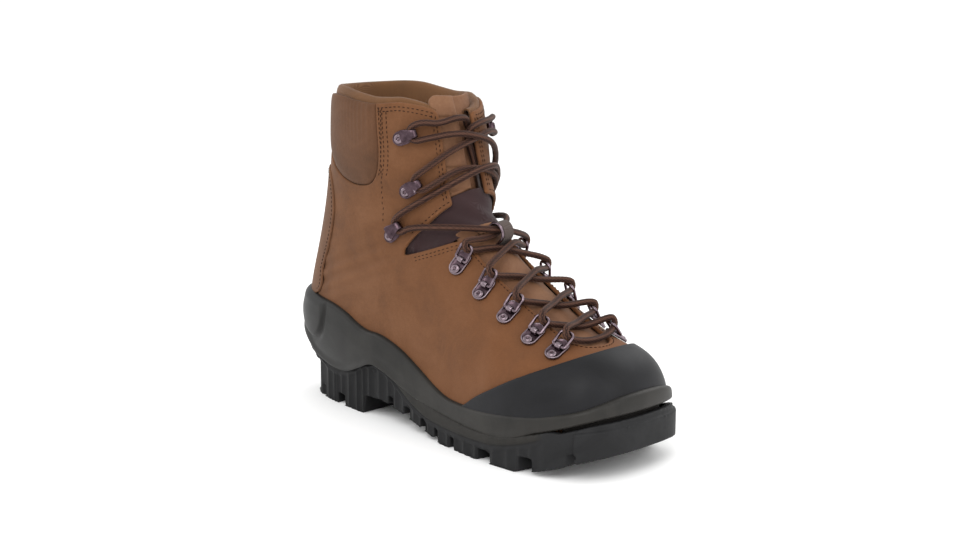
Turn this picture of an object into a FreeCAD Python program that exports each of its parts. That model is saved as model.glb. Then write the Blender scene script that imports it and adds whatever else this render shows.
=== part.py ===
import FreeCAD, Part
import os
from math import pi, sin, cos, tan, sqrt, hypot, floor, atan2, radians, degrees, dist

# Mountaineering boot, right foot. Millimetres. +X to the toe, +Z up, the
# boot's right (outer) side is -Y. The sole's contact plane is Z = 0.

V = FreeCAD.Vector
doc = FreeCAD.newDocument("mountaineering_boot")
sheet = doc.addObject("Spreadsheet::Sheet", "dims")
DIMS = [
    ("shift_x", 1.7, "moves the lasted shape so that the box is centred"),
    ("shift_y", 2.66, ""),
    ("leather_thick", 2.4, "upper leather"),
    ("stiffener_gap", 0.15, ""),
    ("stiffener_thick", 1.4, "heel counter and toe puff"),
    ("lining_start", 4.2, "from the outside of the leather to the lining"),
    ("lining_thick", 2.6, ""),
    ("collar_lining_thick", 5.2, "padded at the ankle and collar"),
    ("tongue_start", 2.9, ""),
    ("tongue_thick", 4.6, ""),
    ("rand_clear", 0.2, ""),
    ("rand_thick", 2.2, "toe rand"),
    ("band_proud", 4.2, "midsole band outside the leather"),
    ("sole_proud", 5.2, "outsole wall outside the leather"),
    ("sole_toe_proud", 7.4, "smooth front block of the outsole"),
    ("lug_depth", 8.0, ""),
    ("board_thick", 2.2, "insole board"),
    ("footbed_thick", 4.0, ""),
    ("shank_length", 118.0, ""),
    ("shank_width", 16.0, ""),
    ("shank_thick", 1.2, ""),
    ("plate_length", 18.0, "eyelet base plate"),
    ("plate_width", 10.5, ""),
    ("plate_thick", 1.0, ""),
    ("plate_lift", 0.6, "gap under a plate on the curved leather"),
    ("knuckle_radius", 2.1, ""),
    ("knuckle_width", 4.0, ""),
    ("ring_wire", 2.0, "diameter of the lacing ring's wire"),
    ("ring_width", 11.0, "outside"),
    ("ring_reach", 11.6, "hinge centre to the outside of the far bar"),
    ("ring_tilt", 18.0, "degrees above the plate, laced"),
    ("rivet_head", 3.1, "radius"),
    ("rivet_shank", 1.55, "radius"),
    ("rivet_hole", 1.65, "radius"),
    ("washer_radius", 3.2, ""),
    ("washer_thick", 0.7, ""),
    ("hook_length", 18.5, ""),
    ("hook_width", 9.6, ""),
    ("hook_neck", 5.4, ""),
    ("hook_rise", 4.9, "clear height for the lace"),
    ("lace_dia", 4.0, ""),
    ("aglet_length", 16.0, ""),
    ("aglet_radius", 2.2, ""),
    ("keeper_width", 8.0, ""),
    ("keeper_inner", 5.3, "radius of the loop that the lace runs through"),
    ("keeper_thick", 1.5, ""),
]
for row, (alias, value, note) in enumerate(DIMS, start=1):
    sheet.set("A%d" % row, alias)
    sheet.set("B%d" % row, str(value))
    sheet.setAlias("B%d" % row, alias)
    if note:
        sheet.set("C%d" % row, note)
doc.recompute()


def dim(alias):
    return float(getattr(sheet, alias))


SHIFT = V(dim("shift_x"), dim("shift_y"), 0)
KEPT = []          # every object that is written as a node


# ---------------------------------------------------------------- the last
# Stations of the boot's outer surface. Each is a closed section in a plane
# square to the XZ plane: the top (front) point x, z; the bottom (back) point
# x, z; the half widths on the outer and inner side; the place of the widest
# point along the section; and the fullness above and below it. The planes
# start upright at the toe and turn until they lie flat at the collar.
STATIONS = [
    (142.5, 38, 142.5, 16, 3.0, 3.0, .55, 2.0, 2.4),
    (140.5, 53, 141.0, 13, 19.0, 21.0, .60, 2.2, 3.0),
    (135.0, 63, 136.0, 11, 32.0, 33.5, .62, 2.3, 3.5),
    (125.5, 69.5, 126.5, 10, 41.5, 41.0, .64, 2.4, 4.0),
    (112.0, 73.5, 112.0, 10, 47.5, 45.0, .66, 2.4, 4.5),
    (96.0, 79, 95.0, 10, 50.5, 46.5, .68, 2.35, 5.0),
    (79.0, 88, 74.0, 10, 51.5, 46.5, .70, 2.3, 5.0),
    (60.0, 100, 50.0, 10, 49.5, 43.5, .70, 2.25, 5.0),
    (43.0, 112.5, 24.0, 10, 46.0, 40.0, .69, 2.2, 4.6),
    (29.0, 125, -6.0, 10, 42.5, 37.5, .67, 2.2, 4.0),
    (19.0, 138, -40.0, 10, 40.5, 36.5, .62, 2.2, 3.4),
    (13.0, 151, -84.0, 10, 40.5, 38.0, .56, 2.2, 2.9),
    (9.0, 163, -139.0, 24, 40.8, 39.0, .50, 2.2, 2.5),
    (6.0, 173, -147.0, 62, 41.3, 39.5, .46, 2.2, 2.35),
    (3.0, 183, -137.0, 98, 41.8, 40.0, .44, 2.2, 2.3),
    (0.5, 193, -127.0, 130, 42.0, 40.0, .44, 2.2, 2.3),
    (-2.0, 202, -121.0, 160, 42.3, 40.0, .45, 2.2, 2.3),
    (-5.0, 211, -117.5, 188, 42.5, 40.0, .46, 2.2, 2.3),
    (-8.0, 219, -115.0, 214, 42.5, 40.0, .47, 2.2, 2.3),
    (-10.5, 227, -112.8, 238, 42.5, 40.0, .47, 2.2, 2.3),
]
LAST = len(STATIONS) - 1


def natural_spline(ys):
    """Natural cubic spline through ys at 0, 1, 2, ..."""
    n = len(ys)
    a = [0.0] * n
    b = [1.0] * n
    c = [0.0] * n
    d = [0.0] * n
    for i in range(1, n - 1):
        a[i], b[i], c[i] = 1, 4, 1
        d[i] = 6 * (ys[i + 1] - 2 * ys[i] + ys[i - 1])
    for i in range(1, n):
        w = a[i] / b[i - 1]
        b[i] -= w * c[i - 1]
        d[i] -= w * d[i - 1]
    m = [0.0] * n
    m[-1] = d[-1] / b[-1]
    for i in range(n - 2, -1, -1):
        m[i] = (d[i] - c[i] * m[i + 1]) / b[i]

    def f(s):
        i = max(0, min(n - 2, int(floor(s))))
        t = s - i
        u = 1 - t
        return (m[i] * u ** 3 / 6 + m[i + 1] * t ** 3 / 6
                + (ys[i] - m[i] / 6) * u + (ys[i + 1] - m[i + 1] / 6) * t)
    return f


CURVES = [natural_spline([r[k] for r in STATIONS]) for k in range(9)]


def station(s):
    return [f(s) for f in CURVES]


def half_loop(s, side, off, count):
    """Points of one side of the section at s, from the top to the bottom."""
    ax, az, bx, bz, hn, hf, vm, nt, nb = station(s)
    hw = (hn if side < 0 else hf) + off
    length = hypot(bx - ax, bz - az)
    ux, uz = (bx - ax) / length, (bz - az) / length
    ax, az = ax - off * ux, az - off * uz
    length += 2 * off
    fine = []
    n = 120
    for k in range(n + 1):
        th = pi * k / n
        if th <= pi / 2:
            v = vm - vm * max(cos(th), 0) ** (2 / nt)
            y = hw * max(sin(th), 0) ** (2 / nt)
        else:
            v = vm + (1 - vm) * max(-cos(th), 0) ** (2 / nb)
            y = hw * max(sin(th), 0) ** (2 / nb)
        fine.append((v * length, y))
    fine[0] = (0.0, 0.0)
    fine[-1] = (length, 0.0)
    total = [0.0]
    for p, q in zip(fine, fine[1:]):
        total.append(total[-1] + dist(p, q))
    out = []
    j = 0
    for k in range(count):
        want = total[-1] * k / (count - 1)
        while j < len(total) - 2 and total[j + 1] < want:
            j += 1
        t = (want - total[j]) / ((total[j + 1] - total[j]) or 1)
        out.append((fine[j][0] + t * (fine[j + 1][0] - fine[j][0]),
                    fine[j][1] + t * (fine[j + 1][1] - fine[j][1])))
    fwd = off * max(0.0, min(1.0, (5.0 - s) / 4.0))
    return [(ax + ux * v + fwd, side * y, az + uz * v) for v, y in out]


SECTIONS = [0, .5, 1, 1.6, 2.3, 3, 4, 5, 6, 7, 8, 9, 10, 10.7, 11.3, 11.7, 12,
            12.35, 12.7, 13.2, 13.8, 14.5, 15.4, 16.4, 17.4, 18.2, 19]
_lasts = {}


def last_solid(off):
    """The boot's shape, grown by off (shrunk where it is negative)."""
    if off not in _lasts:
        start = 0 if off > -1 else (0.5 if off > -3.2 else 1)
        rows = []
        for s in SECTIONS:
            if s >= start:
                near = half_loop(s, -1, off, 15)
                far = half_loop(s, 1, off, 15)
                rows.append([V(*p) for p in near[::-1] + far[1:]])
        skin = Part.BSplineSurface()
        skin.interpolate(rows)
        face = skin.toShape()
        caps = [Part.Face(Part.Wire([e])) for e in face.Edges if e.isClosed()]
        outside = Part.makeShell([face] + caps)
        outside.sewShape()
        solid = Part.makeSolid(outside)
        if solid.Volume < 0:
            solid.reverse()
        if not solid.isValid() or solid.Volume < 1000:
            raise RuntimeError("last %s is not a good solid" % off)
        _lasts[off] = solid
    return _lasts[off]


# ------------------------------------------------------- side-view regions
def spline_edge(points):
    curve = Part.BSplineCurve()
    curve.interpolate(Points=[V(x, -90, z) for x, z in points])
    return curve.toShape()


def side_region(low, high):
    """Solid over the region between two side-view curves, square to XZ.
    Both run from the same x to the same x."""
    lo, hi = spline_edge(low), spline_edge(high)
    ends = [Part.LineSegment(V(low[0][0], -90, low[0][1]),
                             V(high[0][0], -90, high[0][1])).toShape(),
            Part.LineSegment(V(low[-1][0], -90, low[-1][1]),
                             V(high[-1][0], -90, high[-1][1])).toShape()]
    wire = Part.Wire(Part.__sortEdges__([lo, ends[1], hi, ends[0]]))
    return Part.Face(wire).extrude(V(0, 180, 0))


def side_polygon(points, y0=-90, y1=90):
    pts = [V(x, y0, z) for x, z in points]
    return Part.Face(Part.makePolygon(pts + pts[:1])).extrude(V(0, y1 - y0, 0))


def plan_prism(points, z0, z1):
    """Solid over a smooth closed plan outline."""
    curve = Part.BSplineCurve()
    curve.interpolate(Points=[V(x, y, z0) for x, y in points],
                      PeriodicFlag=True)
    face = Part.Face(Part.Wire([curve.toShape()]))
    return face.extrude(V(0, 0, z1 - z0))


def outline_at(height, off, count=13):
    """Plan outline of the boot at a height, from the toe round the outer
    side, the heel and the inner side."""
    def line(s, x, z):
        ax, az, bx, bz = station(s)[:4]
        return (bx - ax) * (z - az) - (bz - az) * (x - ax)

    def width(x, side):
        prev, ps, hit = line(0, x, height), 0.0, None
        for k in range(1, 61):
            s = LAST * k / 60.0
            v = line(s, x, height)
            if (prev <= 0) != (v <= 0):
                hit = (ps, s, prev)
                break
            prev, ps = v, s
        if hit is None:
            return 0.0
        a, b, fa = hit
        for _ in range(40):
            m = (a + b) / 2
            if (fa <= 0) != (line(m, x, height) <= 0):
                b = m
            else:
                a = m
        s = (a + b) / 2
        ax, az, bx, bz, hn, hf, vm, nt, nb = station(s)
        v = hypot(x - ax, height - az) / hypot(bx - ax, bz - az)
        hw = hn if side < 0 else hf
        if v >= 1:
            return 0.0
        if v < vm:
            return hw * max(0, 1 - ((vm - v) / vm) ** nt) ** (1 / nt)
        return hw * max(0, 1 - ((v - vm) / (1 - vm)) ** nb) ** (1 / nb)

    lo, hi = -149.0, 142.4
    while width(lo, -1) < 2.0:
        lo += 0.25
    xs = [lo + (hi - lo) * (1 - cos(pi * k / (2 * count))) / 2
          for k in range(0, 2 * count + 1)]
    near = [(x, -width(x, -1)) for x in xs]
    far = [(x, width(x, 1)) for x in xs]
    ring = near[::-1] + far
    # move every point outward by off
    n = len(ring)
    out = []
    for i, (x, y) in enumerate(ring):
        x0, y0 = ring[i - 1]
        x1, y1 = ring[(i + 1) % n]
        tx, ty = x1 - x0, y1 - y0
        ln = hypot(tx, ty) or 1
        out.append((x + off * ty / ln * -1, y + off * tx / ln))
    # the ring runs toe -> outer side -> heel -> inner side
    return out


# ------------------------------------------------- side-view curves (x, z)
FEATHER = [(-165, 33), (-150, 32), (-110, 30.5), (-80, 29.5), (-50, 27.5),
           (-20, 24), (20, 19.5), (60, 17.5), (90, 18.5), (115, 22.5),
           (135, 28), (150, 33), (165, 38)]
CORE = [(-165, 17), (-140, 14.5), (-90, 14), (-66, 17), (-50, 19.5),
        (-30, 17.5), (0, 13.5), (25, 10.8), (80, 10.5), (105, 12.5),
        (120, 16), (135, 21.5), (150, 26), (165, 29)]
GROOVE = [(-165, 57), (-152, 55), (-141, 49.5), (-131, 42.7), (-118, 33.8),
          (-103, 28.9), (-84, 28.4), (-66, 33.7), (-52, 38.6), (-39.5, 36.5),
          (-21, 29.8), (0, 24.2), (21, 20.8), (43, 18.9), (63, 18.3),
          (81, 19.8), (104, 24.9), (123, 31), (132, 34.3), (140, 36.8),
          (150, 38.3), (165, 39.4)]
BAND_TOP = [(-165, 78), (-150, 77.5), (-135, 77), (-122, 76), (-96, 73.3),
            (-80, 69), (-68, 63.4), (-58, 60.2), (-46, 59.3), (-35, 56.6),
            (-22, 51.6), (-2.6, 41.8), (12, 34.8), (26, 30.6), (44, 30),
            (62, 31), (79, 32.6), (102, 35.4), (118, 38.8), (130, 42.4),
            (137, 46.4), (142, 50.2), (152, 53.4), (165, 54.4)]
RAND_TOP = [(36, 27.5), (44, 31), (56, 38.8), (69.5, 46), (80, 51.6),
            (91, 57), (107, 64.2), (118, 69.2), (125, 72.4), (133, 75.2),
            (148, 78), (165, 80)]
SOLE_UNDER = [(-165, 24), (-153, 12), (-146, 3.5), (-139, 0), (-66, 0),
              (-63.5, 13.2), (-45, 13.6), (-22, 9.8), (0, 5), (13, 2.2),
              (20, 0), (93, 0), (106, 2.2), (119, 5.8), (132, 11), (152, 17),
              (165, 20)]
ANKLE = (-75, 100)
LOW_SIDE = [(-175, 96.5), (-75, 99.6), (-24, 107), (-12, 111), (4, 122),
            (16.5, 128.2), (40, 136)]
TONGUE_LOW = [(-175, 96.5), (-75, 99.6), (-24, 107), (-12, 111), (2, 124.5),
              (10, 133), (17, 136.4), (40, 144)]
HIGH_SIDE = [(-175, 106.5), (-75, 100.4), (-24, 118.5), (-18.7, 127),
             (-7.6, 137.5), (3.3, 148.4), (40, 172)]
COLLAR_TOP = [(-160, 212), (-128, 213), (-112, 214), (-96, 215.2),
              (-82, 215), (-66, 213), (-50, 211.6), (-38, 212.4),
              (-28, 213.2), (-17, 211.4), (-8, 208.2), (10, 203), (40, 200)]
TONGUE_TOP = [(-60, 212), (-30, 217), (-12, 218.5), (0, 217.5), (20, 214)]
PANEL = [(-170, 184), (-128, 180), (-112, 177.5), (-100, 171), (-90, 164.5),
         (-80, 160), (-67, 157.2), (-55, 158), (-48.5, 162), (-45, 170),
         (-44, 182), (-45, 196), (-46, 215), (-47, 240), (-170, 240)]


def between(points, dz0, dz1):
    """Region from a broken line, raised dz0, to one raised dz1."""
    low = [(x, z + dz0) for x, z in points]
    high = [(x, z + dz1) for x, z in points]
    return side_polygon(low + high[::-1])


def below(points, gap=0.0):
    points = points + [(176, points[-1][1])]
    return side_polygon([(x, z - gap) for x, z in points]
                        + [(points[-1][0], -20), (points[0][0], -20)])


def above(points, gap=0.0, top=260):
    return side_polygon([(x, z + gap) for x, z in points]
                        + [(points[-1][0], top), (points[0][0], top)])


def shell(outer, inner):
    return last_solid(outer).cut(last_solid(inner))


def biggest(shape):
    solids = sorted(shape.Solids, key=lambda q: -q.Volume)
    return solids[0]


def plan_polygon(points, z0, z1):
    pts = [V(x, y, z0) for x, y in points]
    return Part.Face(Part.makePolygon(pts + pts[:1])).extrude(V(0, 0, z1 - z0))


def clean(shape, smallest=5.0):
    """One compound of the real pieces, without crumbs."""
    keep = [q for q in shape.Solids if q.Volume > smallest]
    if len(keep) == 1:
        return keep[0]
    return Part.makeCompound(keep)


def node(label, shape):
    obj = doc.addObject("Part::Feature", label)
    obj.Label = label
    obj.Shape = shape
    obj.Placement = FreeCAD.Placement(SHIFT, FreeCAD.Rotation()).multiply(
        shape.Placement)
    KEPT.append(obj)
    return obj


def throat_low(half_back, half_front, toe_x, z0=58):
    """Opening over the instep of the foot leather."""
    pts = [(-60, -half_back - 0.6), (16, -half_back), (60, -(half_back + half_front) / 2),
           (toe_x - 14, -half_front)]
    for k in range(1, 8):
        a = -pi / 2 + pi * k / 8
        pts.append((toe_x - 14 + 14 * cos(a), half_front * sin(a)))
    pts += [(toe_x - 14, half_front), (60, (half_back + half_front) / 2),
            (16, half_back), (-60, half_back + 0.6)]
    return plan_polygon(pts, z0, 240)


def box(x0, x1, y0, y1, z0, z1):
    return Part.makeBox(x1 - x0, y1 - y0, z1 - z0, V(x0, y0, z0))


# ------------------------------------------------------ places on the upper
def surf(s, y):
    ax, az, bx, bz, hn, hf, vm, nt, nb = station(s)
    hw = hn if y < 0 else hf
    q = min(abs(y) / hw, 0.9999)
    v = vm * (1 - (1 - q ** nt) ** (1 / nt))
    return V(ax + (bx - ax) * v, y, az + (bz - az) * v)


def normal(s, y):
    n = (surf(s + .02, y) - surf(s - .02, y)).cross(surf(s, y + .1)
                                                    - surf(s, y - .1))
    n.normalize()
    st = station(s)
    mid = V((st[0] + st[2]) / 2, 0, (st[1] + st[3]) / 2)
    return n if n.dot(surf(s, y) - mid) > 0 else n * -1


def seat(s, y):
    """Placement on the leather: local X to the throat, local Z out."""
    c, n = surf(s, y), normal(s, y)
    t = surf(s, y * 0.9) - c
    t = t - n * t.dot(n)
    t.normalize()
    b = n.cross(t)
    m = FreeCAD.Matrix(t.x, b.x, n.x, c.x, t.y, b.y, n.y, c.y,
                       t.z, b.z, n.z, c.z, 0, 0, 0, 1)
    return FreeCAD.Placement(m)


# (station, distance from the middle) of each pair, outer side and inner side
EYELETS = [((9.42, 27.3), (9.42, 26.3)), ((8.04, 28.0), (8.04, 26.6)),
           ((6.82, 29.2), (6.82, 27.4)), ((5.74, 29.4), (5.74, 27.8)),
           ((4.67, 27.6), (4.67, 26.6))]
HOOKS = [((15.77, 35.4), (15.77, 34.2)), ((13.28, 33.8), (13.28, 33.0)),
         ((12.2, 37.4), (12.2, 36.0))]
EYELET_SEATS = [("outer_%d" % (i + 1), seat(a[0], -a[1]))
                for i, (a, b) in enumerate(EYELETS)] + \
               [("inner_%d" % (i + 1), seat(b[0], b[1]))
                for i, (a, b) in enumerate(EYELETS)]
HOOK_SEATS = [seat(a[0], -a[1]) for a, b in HOOKS] + \
             [seat(b[0], b[1]) for a, b in HOOKS]
EYELET_BOSS = -5.4     # local X of the rivet
HOOK_BOSS = -4.8


def washer_rooms(seats, x):
    """Shallow pockets for the washers on the inside of the leather."""
    out = []
    for p in seats:
        c = Part.makeCylinder(dim("washer_radius") + 0.3, 1.65, V(x, 0, -4.8))
        c.Placement = p.multiply(c.Placement)
        out.append(c)
    return Part.makeCompound(out)


def rivet_holes(seats, x):
    hole = [Part.makeCylinder(dim("rivet_hole"), 9, V(x, 0, -6), V(0, 0, 1))
            for _ in seats]
    for h, pl in zip(hole, seats):
        h.Placement = pl.multiply(h.Placement)
    return Part.makeCompound(hole)


# ---------------------------------------------------------------- the upper
leather = shell(0, -dim("leather_thick"))
low_zone = below(LOW_SIDE, 0.3)
high_zone = above(HIGH_SIDE, 0.3)
over_feather = side_region(FEATHER, [(x, 250) for x, z in FEATHER])
under_collar = below(COLLAR_TOP)
throat_foot = throat_low(19.8, 15.5, 114)
# the shaft's opening runs from the outer edge to the edge of the inner flap
throat_shaft = box(-42, 60, -20.5, 3.0, 105, 260)

foot_leather = leather.common(over_feather).common(low_zone).cut(throat_foot)
EYELET_ROOMS = washer_rooms([p for n_, p in EYELET_SEATS], EYELET_BOSS)
HOOK_ROOMS = washer_rooms(HOOK_SEATS, HOOK_BOSS)
foot_leather = foot_leather.cut(rivet_holes([p for n_, p in EYELET_SEATS],
                                            EYELET_BOSS))
node("upper_foot_leather", clean(foot_leather.cut(EYELET_ROOMS)))

panel_zone = side_polygon(PANEL)
panel_gap = side_polygon([(x + (0.35 if x > -60 else 0), z - (0.35 if x < -60 and z < 200 else 0))
                          for x, z in PANEL])
shaft_leather = leather.common(high_zone).common(under_collar)
shaft_leather = shaft_leather.cut(throat_shaft).cut(panel_gap)
shaft_leather = shaft_leather.cut(rivet_holes(HOOK_SEATS, HOOK_BOSS))
node("upper_shaft_leather", clean(shaft_leather))

collar = shell(1.0, -dim("leather_thick")).common(panel_zone)
node("rear_collar_panel", clean(collar.common(below(COLLAR_TOP, 0.2))))

flex_zone = side_polygon([(x, z + 0.2) for x, z in LOW_SIDE]
                         + [(x, z - 0.2) for x, z in HIGH_SIDE[::-1]])
flex = leather.common(flex_zone).common(side_polygon(
    [(-180, 80), (-25.5, 80), (-25.5, 130), (-180, 130)]))
node("quarter_flex_zone", clean(flex))

strip = shell(1.3, 0.1).common(side_polygon(
    [(-175, 79), (-118, 79), (-106, 100), (-97, 122), (-93, 140), (-97, 157),
     (-112, 163), (-130, 166), (-175, 168)]))
node("backstay", clean(strip))

lining_in = -dim("lining_start") - dim("lining_thick")
collar_in = -dim("lining_start") - dim("collar_lining_thick")
throat_lining = throat_low(26, 22, 121)
over_board = side_region([(x, z + 2.5) for x, z in FEATHER],
                         [(x, 250) for x, z in FEATHER])
foot_lining = shell(-dim("lining_start"), lining_in).common(over_board)
foot_lining = foot_lining.common(low_zone).cut(throat_lining)
node("lining_foot", clean(foot_lining.cut(EYELET_ROOMS)))
shaft_lining = shell(-dim("lining_start"), collar_in).common(high_zone)
shaft_lining = shaft_lining.common(below(COLLAR_TOP, 0.2)).cut(
    box(-46, 60, -26, 26, 105, 260))
node("lining_collar_padded", clean(shaft_lining.cut(HOOK_ROOMS)))
ankle_lining = shell(-5.9, -8.4).common(flex_zone).cut(
    box(-46, 60, -26, 26, 90, 260))
node("lining_flex_zone", clean(ankle_lining))

# the last two points of the lace's route at each end, tucked in by the tongue
LACE_ENDS = [((-2.1, 10.3, 171.9), (-4.6, 10.0, 183.8)),
             ((0.5, 3.6, 170.2), (-2.2, 3.0, 180.4))]
t0, t1 = -dim("tongue_start"), -dim("tongue_start") - dim("tongue_thick")
tongue_low = shell(t0, t1).common(below(TONGUE_LOW, 0.3)).common(
    throat_low(24, 20, 119, 64))
node("tongue_lower", clean(biggest(tongue_low.cut(EYELET_ROOMS))))
tongue_zone = above([(x, z + (4 if x > 0 else 0)) for x, z in HIGH_SIDE],
                    0.3).common(below(TONGUE_TOP)).common(
                        box(-34, 60, -40, 40, 105, 260))
tongue_high = shell(t0, -9.0).common(tongue_zone).common(
    box(-60, 60, -24, -5.2, 100, 260))
tongue_deep = shell(-8.2, -10.6).common(tongue_zone).common(
    box(-60, 60, -8.5, 23, 100, 260))


def tucked_ends(radius, length, back=0.0):
    """Cylinders on from the two tucked ends of the lace."""
    out = []
    for a, b in LACE_ENDS:
        d = V(*a) - V(*b)
        d.normalize()
        out.append(Part.makeCylinder(radius, length + back,
                                     V(*a) - d * back, d))
    return out


tongue_high = tongue_high.fuse(tongue_deep)
for hollow in tucked_ends(dim("aglet_radius") + 0.35,
                          dim("aglet_length") + 0.5, 12):
    tongue_high = tongue_high.cut(hollow)
node("tongue_upper", clean(tongue_high))
gusset_zone = side_polygon([(x, z + 0.2) for x, z in TONGUE_LOW]
                           + [(x, z + (3.6 if x > 0 else -0.2))
                              for x, z in HIGH_SIDE[::-1]])
gusset = shell(t0, t0 - 2.6).common(gusset_zone).common(
    box(-36, 60, -45, 45, 95, 200))
for hollow in tucked_ends(dim("aglet_radius") + 0.35,
                          dim("aglet_length") + 0.5):
    gusset = gusset.cut(hollow)
node("tongue_gusset", clean(gusset))

# ------------------------------------------------------- inside the lasting
gap, st = dim("stiffener_gap"), dim("stiffener_thick")
outer_st = -dim("leather_thick") - gap
stiff = shell(outer_st, outer_st - st).common(
    side_region([(x, z + 0.3) for x, z in FEATHER],
                [(x, 250) for x, z in FEATHER]))
node("heel_counter", clean(stiff.common(side_polygon(
    [(-175, 0), (-92, 0), (-100, 60), (-112, 72), (-175, 74)]))))
node("toe_puff", clean(stiff.common(side_polygon(
    [(118, 0), (175, 0), (175, 90), (126, 90), (121, 60)]))))

board = last_solid(-4.1).common(side_region(
    [(x, z + 0.05) for x, z in FEATHER],
    [(x, z + 0.05 + dim("board_thick")) for x, z in FEATHER]))
node("insole_board", clean(board))
bed = last_solid(lining_in - 0.3).common(side_region(
    [(x, z + 2.4) for x, z in FEATHER],
    [(x, z + 2.4 + dim("footbed_thick")) for x, z in FEATHER]))
node("footbed", clean(bed))

# -------------------------------------------------------------- sole unit
shank_body = doc.addObject("PartDesign::Body", "steel_shank")
shank_body.Label = "steel_shank"
plane = [f for f in shank_body.Origin.OriginFeatures
         if f.Role == "XY_Plane"][0]
sk = shank_body.newObject("Sketcher::SketchObject", "shank_sketch")
sk.AttachmentSupport = [(plane, "")]
sk.MapMode = "FlatFace"
half_l = dim("shank_length") / 2 - dim("shank_width") / 2
half_w = dim("shank_width") / 2
sk.addGeometry(Part.LineSegment(V(-half_l, -half_w, 0), V(half_l, -half_w, 0)))
sk.addGeometry(Part.ArcOfCircle(Part.Circle(V(half_l, 0, 0), V(0, 0, 1),
                                            half_w), -pi / 2, pi / 2))
sk.addGeometry(Part.LineSegment(V(half_l, half_w, 0), V(-half_l, half_w, 0)))
sk.addGeometry(Part.ArcOfCircle(Part.Circle(V(-half_l, 0, 0), V(0, 0, 1),
                                            half_w), pi / 2, 3 * pi / 2))
pad = shank_body.newObject("PartDesign::Pad", "shank_pad")
pad.Profile = sk
pad.setExpression("Length", "dims.shank_thick")
doc.recompute()
shank_place = FreeCAD.Placement(V(-9, 0, 18.2),
                                FreeCAD.Rotation(V(0, 1, 0), 4.3))
shank_body.Placement = FreeCAD.Placement(SHIFT, FreeCAD.Rotation()).multiply(
    shank_place)
KEPT.append(shank_body)
pocket = Part.makeBox(dim("shank_length") + 0.4, dim("shank_width") + 0.4,
                      dim("shank_thick") + 0.3,
                      V(-dim("shank_length") / 2 - 0.2,
                        -dim("shank_width") / 2 - 0.2, -0.1))
pocket.Placement = shank_place.multiply(pocket.Placement)

foot_space = last_solid(0.15).common(over_feather)
under_band = side_region(GROOVE, BAND_TOP)
core_zone = side_region(CORE, [(x, z + 0.6) for x, z in FEATHER])
midsole = last_solid(dim("band_proud")).common(under_band)
midsole = midsole.fuse(last_solid(-3).common(core_zone))
midsole = midsole.cut(foot_space).cut(pocket)
node("midsole_band", clean(biggest(midsole)))

rand_zone = side_region([(x, z) for x, z in BAND_TOP],
                        [(x, z + 60) for x, z in BAND_TOP]).common(
    below(RAND_TOP)).common(box(37, 170, -90, 90, 20, 120))
rand = shell(dim("rand_clear") + dim("rand_thick"), dim("rand_clear"))
node("toe_rand", clean(rand.common(rand_zone)))

wall = plan_prism(outline_at(24, dim("sole_proud")), -2, 70)
under = SOLE_UNDER
low_edge = [V(x, -90, z) for x, z in under]
sole_face_edges = [Part.LineSegment(p, q).toShape()
                   for p, q in zip(low_edge, low_edge[1:])]
groove_edge = spline_edge(GROOVE)
sole_face_edges += [
    Part.LineSegment(low_edge[-1], V(GROOVE[-1][0], -90, GROOVE[-1][1])).toShape(),
    groove_edge,
    Part.LineSegment(V(GROOVE[0][0], -90, GROOVE[0][1]), low_edge[0]).toShape()]
sole_zone = Part.Face(Part.Wire(Part.__sortEdges__(sole_face_edges))).extrude(
    V(0, 180, 0))
outsole = wall.common(sole_zone)
block = plan_prism(outline_at(24, dim("sole_toe_proud")), -2, 70)
block = block.common(sole_zone).common(side_polygon(
    [(131.5, -5), (175, -5), (175, 33.5), (150, 34.5), (131.5, 32)]))
outsole = outsole.fuse(block)
# the sole wraps up behind the heel, under the band
heel_wrap = last_solid(4.3).common(sole_zone).common(
    box(-175, -118, -90, 90, 24, 70))
outsole = outsole.fuse(heel_wrap)
core = last_solid(-3).common(side_region(
    [(x, z - 0.05) for x, z in CORE], [(x, 120) for x, z in CORE]))
outsole = outsole.cut(core).cut(foot_space)
outsole = biggest(outsole)


def channel(x, y, length, width, angle, top, taper=0.0):
    """A tread channel: centre, length, width, turn from +X, top height."""
    b = Part.makeBox(length, width, top + 6, V(-length / 2, -width / 2, -6))
    b.Placement = FreeCAD.Placement(V(x, y, 0),
                                    FreeCAD.Rotation(V(0, 0, 1), angle))
    return b


deep = dim("lug_depth")
cuts = []
# across the outer edge of the sole: x, width of the channel, turn, height
for x, w, turn, top in ((-119, 6, 8, deep), (-93, 7, 4, deep),
                        (-37, 4, -6, 18.6), (-18.5, 5, -8, 15.5),
                        (0.5, 5, -10, 12), (15.5, 4, -10, 9.5),
                        (33.5, 4.5, -10, deep), (66.5, 10, -12, deep),
                        (101, 10, -14, deep + 2.5), (128.6, 5.5, -12, 17)):
    cuts.append(channel(x, -50, w, 46, turn, top))
for x, w, turn, top in ((-121, 6, -8, deep), (-95, 7, -4, deep),
                        (-39, 4, 6, 18.6), (-20, 5, 8, 15.5),
                        (0, 5, 10, 12), (17, 4, 10, 9.5),
                        (36, 5, 10, deep), (68, 10, 12, deep),
                        (101, 10, 14, deep + 2.5), (127.5, 5.5, 12, 17)):
    cuts.append(channel(x, 48, w, 44, turn, top))
# lengthways, inside the edge lugs
cuts.append(channel(62, -25.5, 106, 4, -4, deep))
cuts.append(channel(62, 24.5, 106, 4, 4, deep))
cuts.append(channel(-104, -15, 60, 4, 0, deep))
cuts.append(channel(-104, 15, 60, 4, 0, deep))
# across the middle
for x, w, turn, top in ((-111, 5, 18, deep), (-88, 5, -18, deep),
                        (28, 5, 20, deep), (50, 5, -20, deep),
                        (72, 5, 20, deep), (94, 5, -20, deep),
                        (113, 5, 16, 13)):
    cuts.append(channel(x, 0, w, 46 if x > 0 else 27, turn, top))
tread = Part.makeCompound(cuts)
outsole = outsole.cut(tread)
node("outsole", clean(outsole, 40))


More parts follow.
